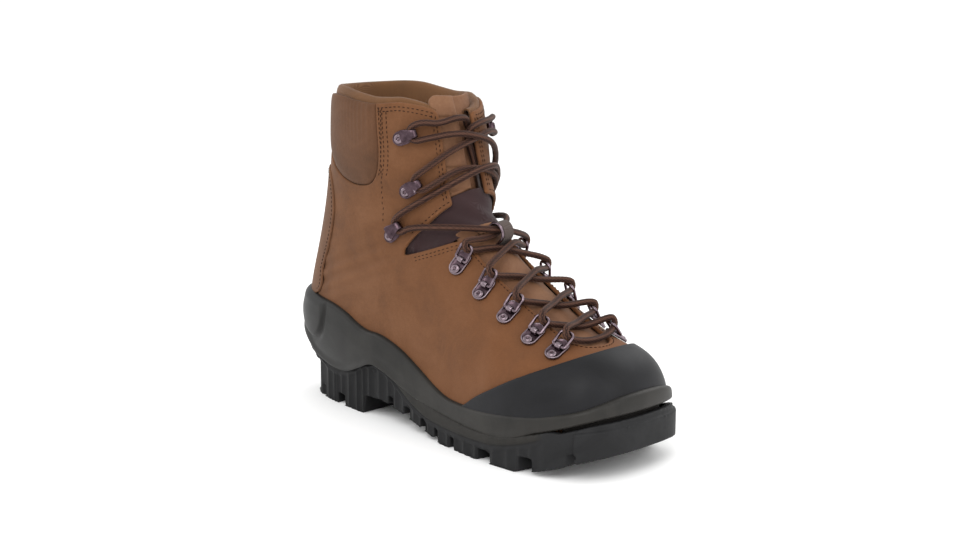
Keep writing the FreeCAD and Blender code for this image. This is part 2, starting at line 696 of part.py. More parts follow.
# ----------------------------------------------------------- lacing hardware
def slot_plate(x0, x1, half, z0, z1):
    """Flat plate with round ends along X."""
    r = half
    body = Part.makeBox(x1 - x0 - 2 * r, 2 * r, z1 - z0, V(x0 + r, -r, z0))
    for cx in (x0 + r, x1 - r):
        body = body.fuse(Part.makeCylinder(r, z1 - z0, V(cx, 0, z0),
                                           V(0, 0, 1)))
    return body.removeSplitter()


HINGE_X = 1.5
HINGE_Z = dim("plate_lift") + dim("knuckle_radius")
plate_top = dim("plate_lift") + dim("plate_thick")
plate = slot_plate(-dim("plate_length") / 2, dim("plate_length") / 2,
                   dim("plate_width") / 2, dim("plate_lift"), plate_top)
knuckle = Part.makeCylinder(dim("knuckle_radius"), dim("knuckle_width"),
                            V(HINGE_X, -dim("knuckle_width") / 2, HINGE_Z),
                            V(0, 1, 0))
plate = plate.fuse(knuckle)
plate = plate.cut(Part.makeCylinder(dim("ring_wire") / 2 + 0.12, 14,
                                    V(HINGE_X, -7, HINGE_Z), V(0, 1, 0)))
plate = plate.cut(Part.makeCylinder(dim("rivet_hole"), 6,
                                    V(EYELET_BOSS, 0, -1), V(0, 0, 1)))
plate = biggest(plate)


def placed(shape, placement):
    c = shape.copy()
    c.Placement = placement.multiply(c.Placement)
    return c


node("eyelet_plates", Part.makeCompound(
    [placed(plate, p) for n_, p in EYELET_SEATS]))

# One rivet and one washer, turned; the groups are placed copies of them.
rivet_body = doc.addObject("PartDesign::Body", "rivet_turned")
xz = [f for f in rivet_body.Origin.OriginFeatures if f.Role == "XZ_Plane"][0]
sk = rivet_body.newObject("Sketcher::SketchObject", "rivet_profile")
sk.AttachmentSupport = [(xz, "")]
sk.MapMode = "FlatFace"
rs, rh = dim("rivet_shank"), dim("rivet_head")
profile = [V(0, -4.05, 0), V(rs, -4.05, 0), V(rs, 0, 0), V(rh, 0, 0),
           V(rh, 0.5, 0), V(rh - 0.7, 1.15, 0), V(rh - 1.5, 1.4, 0),
           V(0.9, 1.4, 0), V(0.5, 1.0, 0), V(0, 0.9, 0)]
profile = [V(p.x, p.y + (plate_top if p.y >= 0 else 0), 0) for p in profile]
for p, q in zip(profile, profile[1:] + profile[:1]):
    sk.addGeometry(Part.LineSegment(p, q))
turned = rivet_body.newObject("PartDesign::Revolution", "rivet_turning")
turned.Profile = sk
turned.ReferenceAxis = (sk, ["V_Axis"])
turned.Angle = 360
washer_body = doc.addObject("PartDesign::Body", "washer_pressed")
xy = [f for f in washer_body.Origin.OriginFeatures if f.Role == "XY_Plane"][0]
sk = washer_body.newObject("Sketcher::SketchObject", "washer_profile")
sk.AttachmentSupport = [(xy, "")]
sk.MapMode = "FlatFace"
sk.addGeometry(Part.Circle(V(0, 0, 0), V(0, 0, 1), dim("washer_radius")))
sk.addGeometry(Part.Circle(V(0, 0, 0), V(0, 0, 1), rs + 0.03))
pressed = washer_body.newObject("PartDesign::Pad", "washer_pad")
pressed.Profile = sk
pressed.setExpression("Length", "dims.washer_thick")
doc.recompute()
rivet = rivet_body.Shape.copy()
washer = washer_body.Shape.copy()
washer.translate(V(0, 0, -4.05))


def riveted(shape, seats, x):
    shape = shape.copy()
    shape.translate(V(x, 0, 0))
    return Part.makeCompound([placed(shape, p) for p in seats])


eyelets = [p for n_, p in EYELET_SEATS]
node("eyelet_rivets", riveted(rivet, eyelets, EYELET_BOSS))
node("eyelet_washers", riveted(washer, eyelets, EYELET_BOSS))
node("hook_rivets", riveted(rivet, HOOK_SEATS, HOOK_BOSS))
node("hook_washers", riveted(washer, HOOK_SEATS, HOOK_BOSS))

# lacing ring: a closed D of wire, its straight side in the knuckle
wr = dim("ring_wire") / 2
hw = dim("ring_width") / 2 - wr
reach = dim("ring_reach") - wr
c1, c2 = 1.4, 2.9


def bent_loop():
    """Centre line of the ring, in the local XY plane, hinge on the Y axis."""
    k = sqrt(0.5)
    e = [Part.LineSegment(V(0, -hw + c1, 0), V(0, hw - c1, 0)),
         Part.Arc(V(0, hw - c1, 0), V(c1 - c1 * k, hw - c1 + c1 * k, 0),
                  V(c1, hw, 0)),
         Part.LineSegment(V(c1, hw, 0), V(reach - c2, hw, 0)),
         Part.Arc(V(reach - c2, hw, 0),
                  V(reach - c2 + c2 * k, hw - c2 + c2 * k, 0),
                  V(reach, hw - c2, 0)),
         Part.LineSegment(V(reach, hw - c2, 0), V(reach, -hw + c2, 0)),
         Part.Arc(V(reach, -hw + c2, 0),
                  V(reach - c2 + c2 * k, -hw + c2 - c2 * k, 0),
                  V(reach - c2, -hw, 0)),
         Part.LineSegment(V(reach - c2, -hw, 0), V(c1, -hw, 0)),
         Part.Arc(V(c1, -hw, 0), V(c1 - c1 * k, -hw + c1 - c1 * k, 0),
                  V(0, -hw + c1, 0))]
    return Part.Wire([x.toShape() for x in e])


loop = bent_loop()
round_ = Part.Wire([Part.Circle(V(0, 0, 0), V(0, 1, 0), wr).toShape()])
ring = loop.makePipeShell([round_], True, False)
if not ring.isValid() or ring.Volume <= 0:
    raise RuntimeError("ring")
press = loop.makePipeShell([Part.Wire([Part.Circle(
    V(0, 0, 0), V(0, 1, 0), wr + 0.03).toShape()])], True, False)
tilt = FreeCAD.Placement(V(HINGE_X, 0, HINGE_Z),
                         FreeCAD.Rotation(V(0, 1, 0), -dim("ring_tilt")))
for name, p in EYELET_SEATS:
    node("ring_" + name, placed(placed(ring, tilt), p))
    hinge = FreeCAD.Placement(SHIFT, FreeCAD.Rotation()).multiply(p)
    a = hinge.multVec(V(HINGE_X, 0, HINGE_Z))
    d = hinge.Rotation.multVec(V(0, 1, 0))
    print("HINGE ring_%s pos %.4f %.4f %.4f axis %.5f %.5f %.5f" % (
        name, a.x, a.y, a.z, d.x, d.y, d.z))

# speed hook: one bent strip, the bend towards the throat
ht = dim("plate_thick")
z0 = dim("plate_lift")
ro = (2 * ht + dim("hook_rise")) / 2
cz = z0 + ro
bx = dim("hook_length") / 2 - ro - 0.2
k = sqrt(0.5)
ri = ro - ht
e = [Part.LineSegment(V(-dim("hook_length") / 2, 0, z0), V(bx, 0, z0)),
     Part.Arc(V(bx, 0, z0), V(bx + ro, 0, cz), V(bx, 0, cz + ro)),
     Part.LineSegment(V(bx, 0, cz + ro), V(-1.2, 0, cz + ro + 0.5)),
     Part.LineSegment(V(-1.2, 0, cz + ro + 0.5), V(-1.2, 0, cz + ri + 0.5)),
     Part.LineSegment(V(-1.2, 0, cz + ri + 0.5), V(bx, 0, cz + ri)),
     Part.Arc(V(bx, 0, cz + ri), V(bx + ri, 0, cz), V(bx, 0, cz - ri)),
     Part.LineSegment(V(bx, 0, cz - ri), V(-dim("hook_length") / 2, 0, z0 + ht)),
     Part.LineSegment(V(-dim("hook_length") / 2, 0, z0 + ht),
                      V(-dim("hook_length") / 2, 0, z0))]
strip_face = Part.Face(Part.Wire([x.toShape() for x in e]))
strip_face.translate(V(0, -8, 0))
hook = strip_face.extrude(V(0, 16, 0))
hh, nk = dim("hook_width") / 2, dim("hook_neck") / 2
r0 = -dim("hook_length") / 2
plan = [V(r0 + hh, -hh, -1)]
plan = [(r0 + hh + hh * cos(a), hh * sin(a)) for a in
        [pi / 2 + pi * i / 12 for i in range(13)]]
plan = plan[::-1] + []
plan = [(x, y) for x, y in plan]
plan = plan + [(1.0, hh), (6.2, nk), (10.5, nk), (10.5, -nk), (6.2, -nk),
               (1.0, -hh)] if plan[-1][1] > 0 else \
    plan + [(1.0, -hh), (6.2, -nk), (10.5, -nk), (10.5, nk), (6.2, nk),
            (1.0, hh)]
pp = [V(x, y, -1) for x, y in plan]
hook = hook.common(Part.Face(Part.makePolygon(pp + pp[:1])).extrude(
    V(0, 0, 12)))
hook = hook.cut(Part.makeCylinder(dim("rivet_hole"), 2.2,
                                  V(HOOK_BOSS, 0, 0), V(0, 0, 1)))
hook = biggest(hook)
node("lace_hooks", Part.makeCompound([placed(hook, p) for p in HOOK_SEATS]))

# lace keeper on the tongue: a leather loop and a wire hoop beside it
keep = seat(9.35, -3.0)
ki, kt = dim("keeper_inner"), dim("keeper_thick")
kz = 4.3


def arch(x0, x1, inner, outer, foot):
    a = Part.makeCylinder(outer, x1 - x0, V(x0, 0, kz), V(1, 0, 0))
    a = a.fuse(Part.makeBox(x1 - x0, 2 * outer, kz + 6, V(x0, -outer, -6)))
    b = Part.makeCylinder(inner, x1 - x0 + 2, V(x0 - 1, 0, kz), V(1, 0, 0))
    b = b.fuse(Part.makeBox(x1 - x0 + 2, 2 * inner, kz + 8,
                            V(x0 - 1, -inner, -8)))
    a = a.cut(b)
    a = a.common(Part.makeBox(40, 40, 30, V(-20, -20, -6)))
    return a


# ---------------------------------------------------------------- the lace
# Route of the lace from one tucked end to the other: round the hooks, through
# the keeper, criss-cross through the rings, across at the toe and back up.
LACE = [
    (-2.1, 10.3, 171.9), (-4.6, 10.0, 183.8), (-6.1, 7.2, 193.1),
    (-6.4, 1.1, 198.8), (-1.8, -2.4, 203.0), (-1.2, -12.9, 203.7),
    (-5.5, -23.9, 199.9), (-10.7, -33.5, 201.6), (-17.9, -37.0, 198.2),
    (-18.8, -37.7, 192.7), (-14.9, -35.9, 188.9), (-7.9, -32.5, 191.1),
    (2.0, -14.4, 194.4), (8.0, -2.3, 192.2), (7.3, 10.8, 188.0),
    (-0.4, 22.8, 181.3), (-11.0, 33.7, 169.6), (-17.6, 36.0, 164.5),
    (-17.5, 35.8, 158.8), (-13.0, 33.7, 156.2), (-6.3, 31.1, 160.1),
    (4.2, 19.8, 170.4), (12.1, 7.4, 172.9), (13.0, -7.4, 170.8),
    (5.0, -22.7, 162.4), (-24.2, -39.7, 142.8), (-30.3, -40.9, 136.8),
    (-29.3, -40.8, 131.2), (-24.1, -39.7, 129.3), (-18.0, -38.5, 133.9),
    (7.2, -28.6, 135.7), (25.0, -13.7, 135.1), (30.0, -1.7, 133.6),
    (28.2, 13.5, 130.2), (21.8, 30.0, 124.9), (21.9, 30.2, 120.8),
    (22.3, 27.0, 118.2), (33.7, 6.4, 126.4), (37.6, -6.1, 123.0),
    (43.1, -27.1, 116.1), (43.8, -28.2, 112.2), (44.2, -25.6, 109.0),
    (50.2, -5.5, 107.1), (54.8, 5.5, 103.7), (64.4, 25.5, 102.7),
    (65.4, 26.8, 98.9), (65.9, 24.4, 95.6), (74.0, 5.9, 96.5),
    (78.5, -5.8, 93.8), (85.9, -24.2, 92.7), (86.7, -25.9, 89.0),
    (86.8, -24.0, 85.4), (90.8, -5.5, 81.7), (94.7, 5.5, 79.8),
    (102.5, 20.3, 85.7), (103.9, 22.8, 82.8), (104.5, 21.7, 78.8),
    (108.0, 9.1, 75.4), (108.6, -9.1, 75.3), (104.4, -21.7, 78.5),
    (103.9, -23.3, 82.3), (102.8, -21.1, 85.6), (96.6, -5.7, 84.0),
    (92.9, 5.8, 85.7), (86.7, 23.1, 85.3), (86.4, 25.2, 88.8),
    (85.5, 23.6, 92.5), (76.2, 5.5, 89.9), (71.7, -5.5, 92.7),
    (66.2, -24.9, 96.4), (66.0, -27.2, 99.9), (65.2, -25.7, 103.7),
    (57.4, -5.9, 107.5), (52.9, 6.1, 110.6), (43.5, 25.7, 106.4),
    (42.7, 28.6, 109.2), (42.0, 28.0, 113.2), (34.6, 5.6, 119.5),
    (30.6, -5.5, 123.4), (24.1, -27.8, 122.2), (24.1, -29.9, 125.7),
    (23.8, -28.3, 129.5), (25.9, -13.0, 128.9), (25.8, -2.6, 130.8),
    (22.0, 8.6, 134.5), (9.9, 24.4, 138.0), (-19.0, 37.3, 133.1),
    (-25.1, 38.5, 128.4), (-30.3, 39.5, 130.3), (-31.4, 39.6, 135.9),
    (-25.2, 38.5, 141.9), (2.1, 23.0, 161.0), (8.9, 8.9, 169.1),
    (8.4, -5.4, 172.0), (3.9, -17.4, 171.0), (-4.8, -31.3, 161.1),
    (-11.4, -34.2, 157.2), (-15.8, -36.4, 160.0), (-15.8, -36.6, 165.6),
    (-9.3, -34.0, 170.7), (-0.2, -20.6, 181.9), (3.4, -9.6, 187.1),
    (3.7, 4.3, 191.2), (0.0, 16.5, 193.6), (-9.2, 32.1, 190.8),
    (-16.3, 35.2, 188.5), (-20.3, 36.7, 192.2), (-19.5, 36.0, 197.7),
    (-12.2, 32.9, 201.2), (-3.4, 19.8, 200.2), (1.5, 8.2, 200.0),
    (0.8, -1.9, 196.5), (-3.5, -0.8, 189.5), (-2.2, 3.0, 180.4),
    (0.5, 3.6, 170.2),
]


def cord(points, radius):
    """Tube along straight runs joined by tangent arcs."""
    pts = [V(*p) for p in points]
    edges = []
    start = pts[0]
    radii = []
    for a, b, c in zip(pts, pts[1:], pts[2:]):
        u, w = (a - b), (c - b)
        short = min(u.Length, w.Length)
        u.normalize()
        w.normalize()
        turn = pi - u.getAngle(w)
        r = 0.45 * short / tan(turn / 2)
        radii.append(r)
        p, q = b + u * (0.45 * short), b + w * (0.45 * short)
        bis = u + w
        bis.normalize()
        m = b + bis * (r / cos(turn / 2) - r)
        edges.append(Part.LineSegment(start, p).toShape())
        edges.append(Part.Arc(p, m, q).toShape())
        start = q
    edges.append(Part.LineSegment(start, pts[-1]).toShape())
    path = Part.Wire(edges)
    ring_ = Part.Wire([Part.Circle(pts[0], pts[1] - pts[0], radius).toShape()])
    tube = path.makePipeShell([ring_], True, False)
    print("lace: length %.1f, smallest radius %.1f, volume ratio %.4f" % (
        path.Length, min(radii), tube.Volume / (pi * radius ** 2
                                                * path.Length)))
    return tube, path


lace, lace_path = cord(LACE, dim("lace_dia") / 2)
# the cord is pinched where it bears on the wire of a ring
for name, p in EYELET_SEATS:
    lace = lace.cut(placed(placed(press, tilt), p))
lace = biggest(lace)
print("lace: volume %.0f after pinching" % lace.Volume)
node("lace", lace)

ends = tucked_ends(dim("aglet_radius"), dim("aglet_length"))
node("aglets", Part.makeCompound(ends))

tab = placed(arch(-1.2, dim("keeper_width") - 1.2, ki, ki + kt, 0), keep)
tab = tab.cut(last_solid(t0)).cut(lace)
hoop_r = ki + 0.95
hoop_path = Part.Wire([
    Part.LineSegment(V(-2.5, -hoop_r, -5), V(-2.5, -hoop_r, kz)).toShape(),
    Part.Arc(V(-2.5, -hoop_r, kz), V(-2.5, 0, kz + hoop_r),
             V(-2.5, hoop_r, kz)).toShape(),
    Part.LineSegment(V(-2.5, hoop_r, kz), V(-2.5, hoop_r, -5)).toShape()])
hoop = hoop_path.makePipeShell([Part.Wire([Part.Circle(
    V(-2.5, -hoop_r, -5), V(0, 0, 1), 0.9).toShape()])], True, False)
hoop = placed(hoop, keep).cut(last_solid(t0)).cut(lace)
node("keeper_loop", clean(tab, 1))
node("keeper_hoop", clean(hoop, 1))


# ------------------------------------------------------------------- output
doc.recompute()
for obj in doc.Objects:
    if "Invalid" in obj.State or "Error" in obj.State:
        raise RuntimeError("%s: %s" % (obj.Name, obj.State))
for obj in KEPT:
    shape = obj.Shape
    if shape.isNull() or not shape.isValid() or shape.Volume <= 0:
        raise RuntimeError("%s has no good shape" % obj.Label)
os.makedirs("parts", exist_ok=True)
for obj in KEPT:
    obj.Shape.exportStep("parts/%s.step" % obj.Label)
whole = FreeCAD.BoundBox()
for obj in KEPT:
    whole.add(obj.Shape.BoundBox)
    print("%-24s %3d solids %10.0f mm3" % (obj.Label, len(obj.Shape.Solids),
                                           obj.Shape.Volume))
print("box", whole)
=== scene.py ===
import math
import bpy
import bmesh
import numpy as np
from mathutils import Vector, Matrix, kdtree


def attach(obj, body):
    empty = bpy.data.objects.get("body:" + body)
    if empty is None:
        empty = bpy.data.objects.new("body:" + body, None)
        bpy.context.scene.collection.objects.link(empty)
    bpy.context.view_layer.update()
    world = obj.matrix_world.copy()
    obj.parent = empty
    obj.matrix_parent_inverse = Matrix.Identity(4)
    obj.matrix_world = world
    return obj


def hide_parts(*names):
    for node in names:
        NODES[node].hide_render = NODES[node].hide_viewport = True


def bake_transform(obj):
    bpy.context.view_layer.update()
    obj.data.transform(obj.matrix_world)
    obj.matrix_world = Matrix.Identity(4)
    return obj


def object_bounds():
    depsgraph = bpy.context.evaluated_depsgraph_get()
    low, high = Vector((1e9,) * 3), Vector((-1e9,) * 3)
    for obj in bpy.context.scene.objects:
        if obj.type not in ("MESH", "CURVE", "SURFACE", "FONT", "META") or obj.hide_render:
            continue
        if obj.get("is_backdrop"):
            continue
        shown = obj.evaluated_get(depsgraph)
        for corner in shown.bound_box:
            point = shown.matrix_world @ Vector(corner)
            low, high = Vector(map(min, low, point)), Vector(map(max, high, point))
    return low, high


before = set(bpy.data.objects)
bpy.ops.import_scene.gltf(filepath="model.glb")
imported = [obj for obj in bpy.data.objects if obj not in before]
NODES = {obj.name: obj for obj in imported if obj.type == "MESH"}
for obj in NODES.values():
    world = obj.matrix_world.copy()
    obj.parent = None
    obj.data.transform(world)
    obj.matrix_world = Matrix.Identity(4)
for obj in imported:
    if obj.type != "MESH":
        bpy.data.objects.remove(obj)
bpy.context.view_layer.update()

rng = np.random.default_rng(7)
SHIFT = np.array([1.7, 2.66, 0.0])

# ------------------------------------------------------------------ surface
# The lasted shape, as in the CAD model: closed sections, toe to collar, in mm.
STATIONS = np.array([
    (142.5, 38, 142.5, 16, 3.0, 3.0, .55, 2.0, 2.4),
    (140.5, 53, 141.0, 13, 19.0, 21.0, .60, 2.2, 3.0),
    (135.0, 63, 136.0, 11, 32.0, 33.5, .62, 2.3, 3.5),
    (125.5, 69.5, 126.5, 10, 41.5, 41.0, .64, 2.4, 4.0),
    (112.0, 73.5, 112.0, 10, 47.5, 45.0, .66, 2.4, 4.5),
    (96.0, 79, 95.0, 10, 50.5, 46.5, .68, 2.35, 5.0),
    (79.0, 88, 74.0, 10, 51.5, 46.5, .70, 2.3, 5.0),
    (60.0, 100, 50.0, 10, 49.5, 43.5, .70, 2.25, 5.0),
    (43.0, 112.5, 24.0, 10, 46.0, 40.0, .69, 2.2, 4.6),
    (29.0, 125, -6.0, 10, 42.5, 37.5, .67, 2.2, 4.0),
    (19.0, 138, -40.0, 10, 40.5, 36.5, .62, 2.2, 3.4),
    (13.0, 151, -84.0, 10, 40.5, 38.0, .56, 2.2, 2.9),
    (9.0, 163, -139.0, 24, 40.8, 39.0, .50, 2.2, 2.5),
    (6.0, 173, -147.0, 62, 41.3, 39.5, .46, 2.2, 2.35),
    (3.0, 183, -137.0, 98, 41.8, 40.0, .44, 2.2, 2.3),
    (0.5, 193, -127.0, 130, 42.0, 40.0, .44, 2.2, 2.3),
    (-2.0, 202, -121.0, 160, 42.3, 40.0, .45, 2.2, 2.3),
    (-5.0, 211, -117.5, 188, 42.5, 40.0, .46, 2.2, 2.3),
    (-8.0, 219, -115.0, 214, 42.5, 40.0, .47, 2.2, 2.3),
    (-10.5, 227, -112.8, 238, 42.5, 40.0, .47, 2.2, 2.3)])


def natural_spline(ys):
    n = len(ys)
    a, b, c, d = np.zeros(n), np.ones(n), np.zeros(n), np.zeros(n)
    for i in range(1, n - 1):
        a[i], b[i], c[i] = 1, 4, 1
        d[i] = 6 * (ys[i + 1] - 2 * ys[i] + ys[i - 1])
    for i in range(1, n):
        w = a[i] / b[i - 1]
        b[i] -= w * c[i - 1]
        d[i] -= w * d[i - 1]
    m = np.zeros(n)
    m[-1] = d[-1] / b[-1]
    for i in range(n - 2, -1, -1):
        m[i] = (d[i] - c[i] * m[i + 1]) / b[i]
    return m


SPL = [natural_spline(STATIONS[:, k]) for k in range(9)]


def station(s):
    i = int(min(max(math.floor(s), 0), len(STATIONS) - 2))
    t = s - i
    u = 1 - t
    return [m[i] * u ** 3 / 6 + m[i + 1] * t ** 3 / 6
            + (STATIONS[i, k] - m[i] / 6) * u
            + (STATIONS[i + 1, k] - m[i + 1] / 6) * t
            for k, m in enumerate(SPL)]


def half_loop(s, side, count):
    """Points of a section from the top middle to the bottom middle, evenly."""
    ax, az, bx, bz, hn, hf, vm, nt, nb = station(s)
    hw = hn if side < 0 else hf
    th = np.linspace(0, math.pi, 401)
    top = th <= math.pi / 2
    c, sn = np.abs(np.cos(th)), np.abs(np.sin(th))
    v = np.where(top, vm - vm * c ** (2 / nt), vm + (1 - vm) * c ** (2 / nb))
    y = hw * np.where(top, sn ** (2 / nt), sn ** (2 / nb))
    p = np.stack([ax + (bx - ax) * v, side * y, az + (bz - az) * v], 1)
    d = np.concatenate([[0], np.cumsum(np.linalg.norm(np.diff(p, axis=0), axis=1))])
    q = np.linspace(0, d[-1], count)
    out = np.stack([np.interp(q, d, p[:, k]) for k in range(3)], 1)
    out[0, 1] = out[-1, 1] = 0
    return out


def surf(s, y):
    ax, az, bx, bz, hn, hf, vm, nt, nb = station(s)
    hw = hn if y < 0 else hf
    q = min(abs(y) / hw, 0.9999)
    v = vm * (1 - (1 - q ** nt) ** (1 / nt))
    return np.array([ax + (bx - ax) * v, y, az + (bz - az) * v])


def unit(v):
    return v / (np.linalg.norm(v, axis=-1, keepdims=True) + 1e-12)


def normal_at(s, y):
    n = unit(np.cross(surf(s + .02, y) - surf(s - .02, y),
                      surf(s, y + .1) - surf(s, y - .1)))
    st = station(s)
    mid = np.array([(st[0] + st[2]) / 2, 0, (st[1] + st[3]) / 2])
    return n if n @ (surf(s, y) - mid) > 0 else -n


def seat(s, y):
    """Frame on the leather: rows are local X (to the throat), Y, Z (out)."""
    c, n = surf(s, y), normal_at(s, y)
    t = surf(s, y * 0.9) - c
    t = unit(t - n * (t @ n))
    return c, np.stack([t, np.cross(n, t), n])


class Grid:
    """The whole outer surface on a regular grid, with fields on it."""

    def __init__(self, ns, nt, s0=0.0, s1=19.0):
        # rows evenly spaced by the mean of the top and the back line
        ss = np.linspace(s0, s1, 1500)
        st = np.array([station(s) for s in ss])
        d = np.zeros(len(ss))
        d[1:] = np.cumsum(0.5 * (np.hypot(np.diff(st[:, 0]), np.diff(st[:, 1]))
                                 + np.hypot(np.diff(st[:, 2]), np.diff(st[:, 3]))))
        self.s = np.interp(np.linspace(0, d[-1], ns), d, ss)
        rows = []
        for s in self.s:
            a, b = half_loop(s, -1, nt), half_loop(s, 1, nt)
            rows.append(np.concatenate([a[::-1], b[1:-1]]))
        self.P = np.array(rows)            # ns, m, 3: closed along the row
        self.ns, self.m = self.P.shape[:2]
        pad = np.concatenate([self.P[:, -1:], self.P, self.P[:, :1]], 1)
        self.Pt = (pad[:, 2:] - pad[:, :-2]) / 2
        self.Ps = np.gradient(self.P, axis=0)
        n = np.cross(self.Ps, self.Pt)
        n = unit(n)
        cen = self.P.mean(1, keepdims=True)
        if ((n * (self.P - cen)).sum(-1) > 0).mean() < 0.5:
            n = -n
        self.N = n
        E = (self.Ps ** 2).sum(-1)
        G_ = (self.Pt ** 2).sum(-1)
        F = (self.Ps * self.Pt).sum(-1)
        self.metric = (E, F, G_, np.maximum(E * G_ - F * F, 1e-9))

    def dist(self, g, most=60.0):
        """A field turned into a distance along the surface, near its zero."""
        gp = np.concatenate([g[:, -1:], g, g[:, :1]], 1)
        gt = (gp[:, 2:] - gp[:, :-2]) / 2
        gs = np.gradient(g, axis=0)
        E, F, G_, D = self.metric
        mag = np.sqrt(np.maximum((G_ * gs * gs - 2 * F * gs * gt + E * gt * gt) / D,
                                 0))
        return np.clip(g / np.maximum(mag, 0.12), -most, most)


def smooth_line(pts, closed=False, per=8):
    """Catmull-Rom through the points."""
    p = np.array(pts, float)
    n = len(p)
    out = []
    rng_ = range(n if closed else n - 1)
    for i in rng_:
        p0 = p[(i - 1) % n] if closed else p[max(i - 1, 0)]
        p1, p2 = p[i], p[(i + 1) % n]
        p3 = p[(i + 2) % n] if closed else p[min(i + 2, n - 1)]
        for k in range(per):
            t = k / per
            out.append(0.5 * ((2 * p1) + (p2 - p0) * t
                              + (2 * p0 - 5 * p1 + 4 * p2 - p3) * t * t
                              + (3 * p1 - p0 - 3 * p2 + p3) * t ** 3))
    if not closed:
        out.append(p[-1])
    return np.array(out)


def line_z(points, x, per=8):
    q = smooth_line(points, per=per)
    return np.interp(x, q[:, 0], q[:, 1])


def poly_sd(poly, a, b):
    """Signed distance, positive inside, to a closed polygon in a plane."""
    poly = np.asarray(poly, float)
    best = np.full(a.shape, 1e9)
    inside = np.zeros(a.shape, bool)
    for (x0, y0), (x1, y1) in zip(poly, np.roll(poly, -1, 0)):
        dx, dy = x1 - x0, y1 - y0
        L = dx * dx + dy * dy
        if L < 1e-12:
            continue
        t = np.clip(((a - x0) * dx + (b - y0) * dy) / L, 0, 1)
        best = np.minimum(best, (a - x0 - t * dx) ** 2 + (b - y0 - t * dy) ** 2)
        if dy:
            cross = ((y0 > b) != (y1 > b)) & (a < dx * (b - y0) / dy + x0)
            inside ^= cross
    d = np.sqrt(best)
    return np.where(inside, d, -d)


class Patch:
    """Polygons on the grid's surface with named fields at their vertices."""

    def __init__(self, grid, fields, step=1):
        g = grid
        self.P = g.P.reshape(-1, 3)
        self.N = g.N.reshape(-1, 3)
        self.f = {k: v.reshape(-1).astype(float) for k, v in fields.items()}
        m = g.m
        i = np.arange(g.ns - 1)[:, None]
        j = np.arange(m)[None, :]
        a = i * m + j
        b = i * m + (j + 1) % m
        self.F = [tuple(q) for q in np.stack(
            [a, b, b + m, a + m], -1).reshape(-1, 4).tolist()]

    def copy(self):
        q = object.__new__(Patch)
        q.P, q.N, q.F = self.P, self.N, list(self.F)
        q.f = dict(self.f)
        return q

    def cut(self, name, level=0.0, keep="high", eps=0.05):
        """Splits along name = level, and keeps the part above it or both."""
        v = self.f[name] - level
        v = np.where(np.abs(v) < eps, 0.0, v)
        sg = np.sign(v).astype(int).tolist()
        vals = v.tolist()
        newA, newB, newT = [], [], []
        cache = {}
        base = len(self.P)
        out = []
        for f in self.F:
            lo = hi = False
            for q in f:
                if sg[q] < 0:
                    lo = True
                elif sg[q] > 0:
                    hi = True
            if not lo:
                if hi or keep == "both":
                    out.append(f)
                continue
            if not hi:
                if keep == "both":
                    out.append(f)
                continue
            up, dn = [], []
            n = len(f)
            for k in range(n):
                a, b = f[k], f[(k + 1) % n]
                sa, sb = sg[a], sg[b]
                if sa >= 0:
                    up.append(a)
                if sa <= 0:
                    dn.append(a)
                if sa * sb < 0:
                    key = (a, b) if a < b else (b, a)
                    w = cache.get(key)
                    if w is None:
                        w = base + len(newA)
                        cache[key] = w
                        newA.append(key[0])
                        newB.append(key[1])
                        newT.append(vals[key[0]] / (vals[key[0]] - vals[key[1]]))
                    up.append(w)
                    dn.append(w)
            if len(up) > 2:
                out.append(tuple(up))
            if keep == "both" and len(dn) > 2:
                out.append(tuple(dn))
        if newA:
            A, B, T = np.array(newA), np.array(newB), np.array(newT)[:, None]
            self.P = np.concatenate([self.P, self.P[A] * (1 - T) + self.P[B] * T])
            self.N = unit(np.concatenate([self.N, self.N[A] * (1 - T)
                                          + self.N[B] * T]))
            for k in self.f:
                x = self.f[k]
                self.f[k] = np.concatenate([x, x[A] * (1 - T[:, 0])
                                            + x[B] * T[:, 0]])
        self.F = out
        return self

    def pack(self):
        used = np.zeros(len(self.P), bool)
        for f in self.F:
            for q in f:
                used[q] = True
        idx = np.cumsum(used) - 1
        self.P, self.N = self.P[used], self.N[used]
        self.f = {k: v[used] for k, v in self.f.items()}
        idx = idx.tolist()
        self.F = [tuple(idx[q] for q in f) for f in self.F]
        return self

    def border(self):
        """Distance of every vertex to the edge of the patch."""
        count = {}
        for f in self.F:
            n = len(f)
            for k in range(n):
                a, b = f[k], f[(k + 1) % n]
                key = (a, b) if a < b else (b, a)
                count[key] = count.get(key, 0) + 1
        edges = [k for k, c in count.items() if c == 1]
        e = np.array(edges)
        pts = np.concatenate([self.P[e[:, 0]] * (1 - t) + self.P[e[:, 1]] * t
                              for t in (0, 0.25, 0.5, 0.75)])
        tree = kdtree.KDTree(len(pts))
        for i, p in enumerate(pts):
            tree.insert(p, i)
        tree.balance()
        return np.array([tree.find(p)[2] for p in self.P]), edges


def as_object(name, P, F, mat, smooth=True, design=True):
    P = np.asarray(P, float)
    if design:
        P = (P + SHIFT) / 1000.0
    me = bpy.data.meshes.new(name)
    me.from_pydata(P.tolist(), [], [list(f) for f in F])
    me.validate()
    me.update()
    if smooth:
        me.polygons.foreach_set("use_smooth", [True] * len(me.polygons))
    ob = bpy.data.objects.new(name, me)
    bpy.context.scene.collection.objects.link(ob)
    if mat is not None:
        me.materials.append(mat)
    return ob


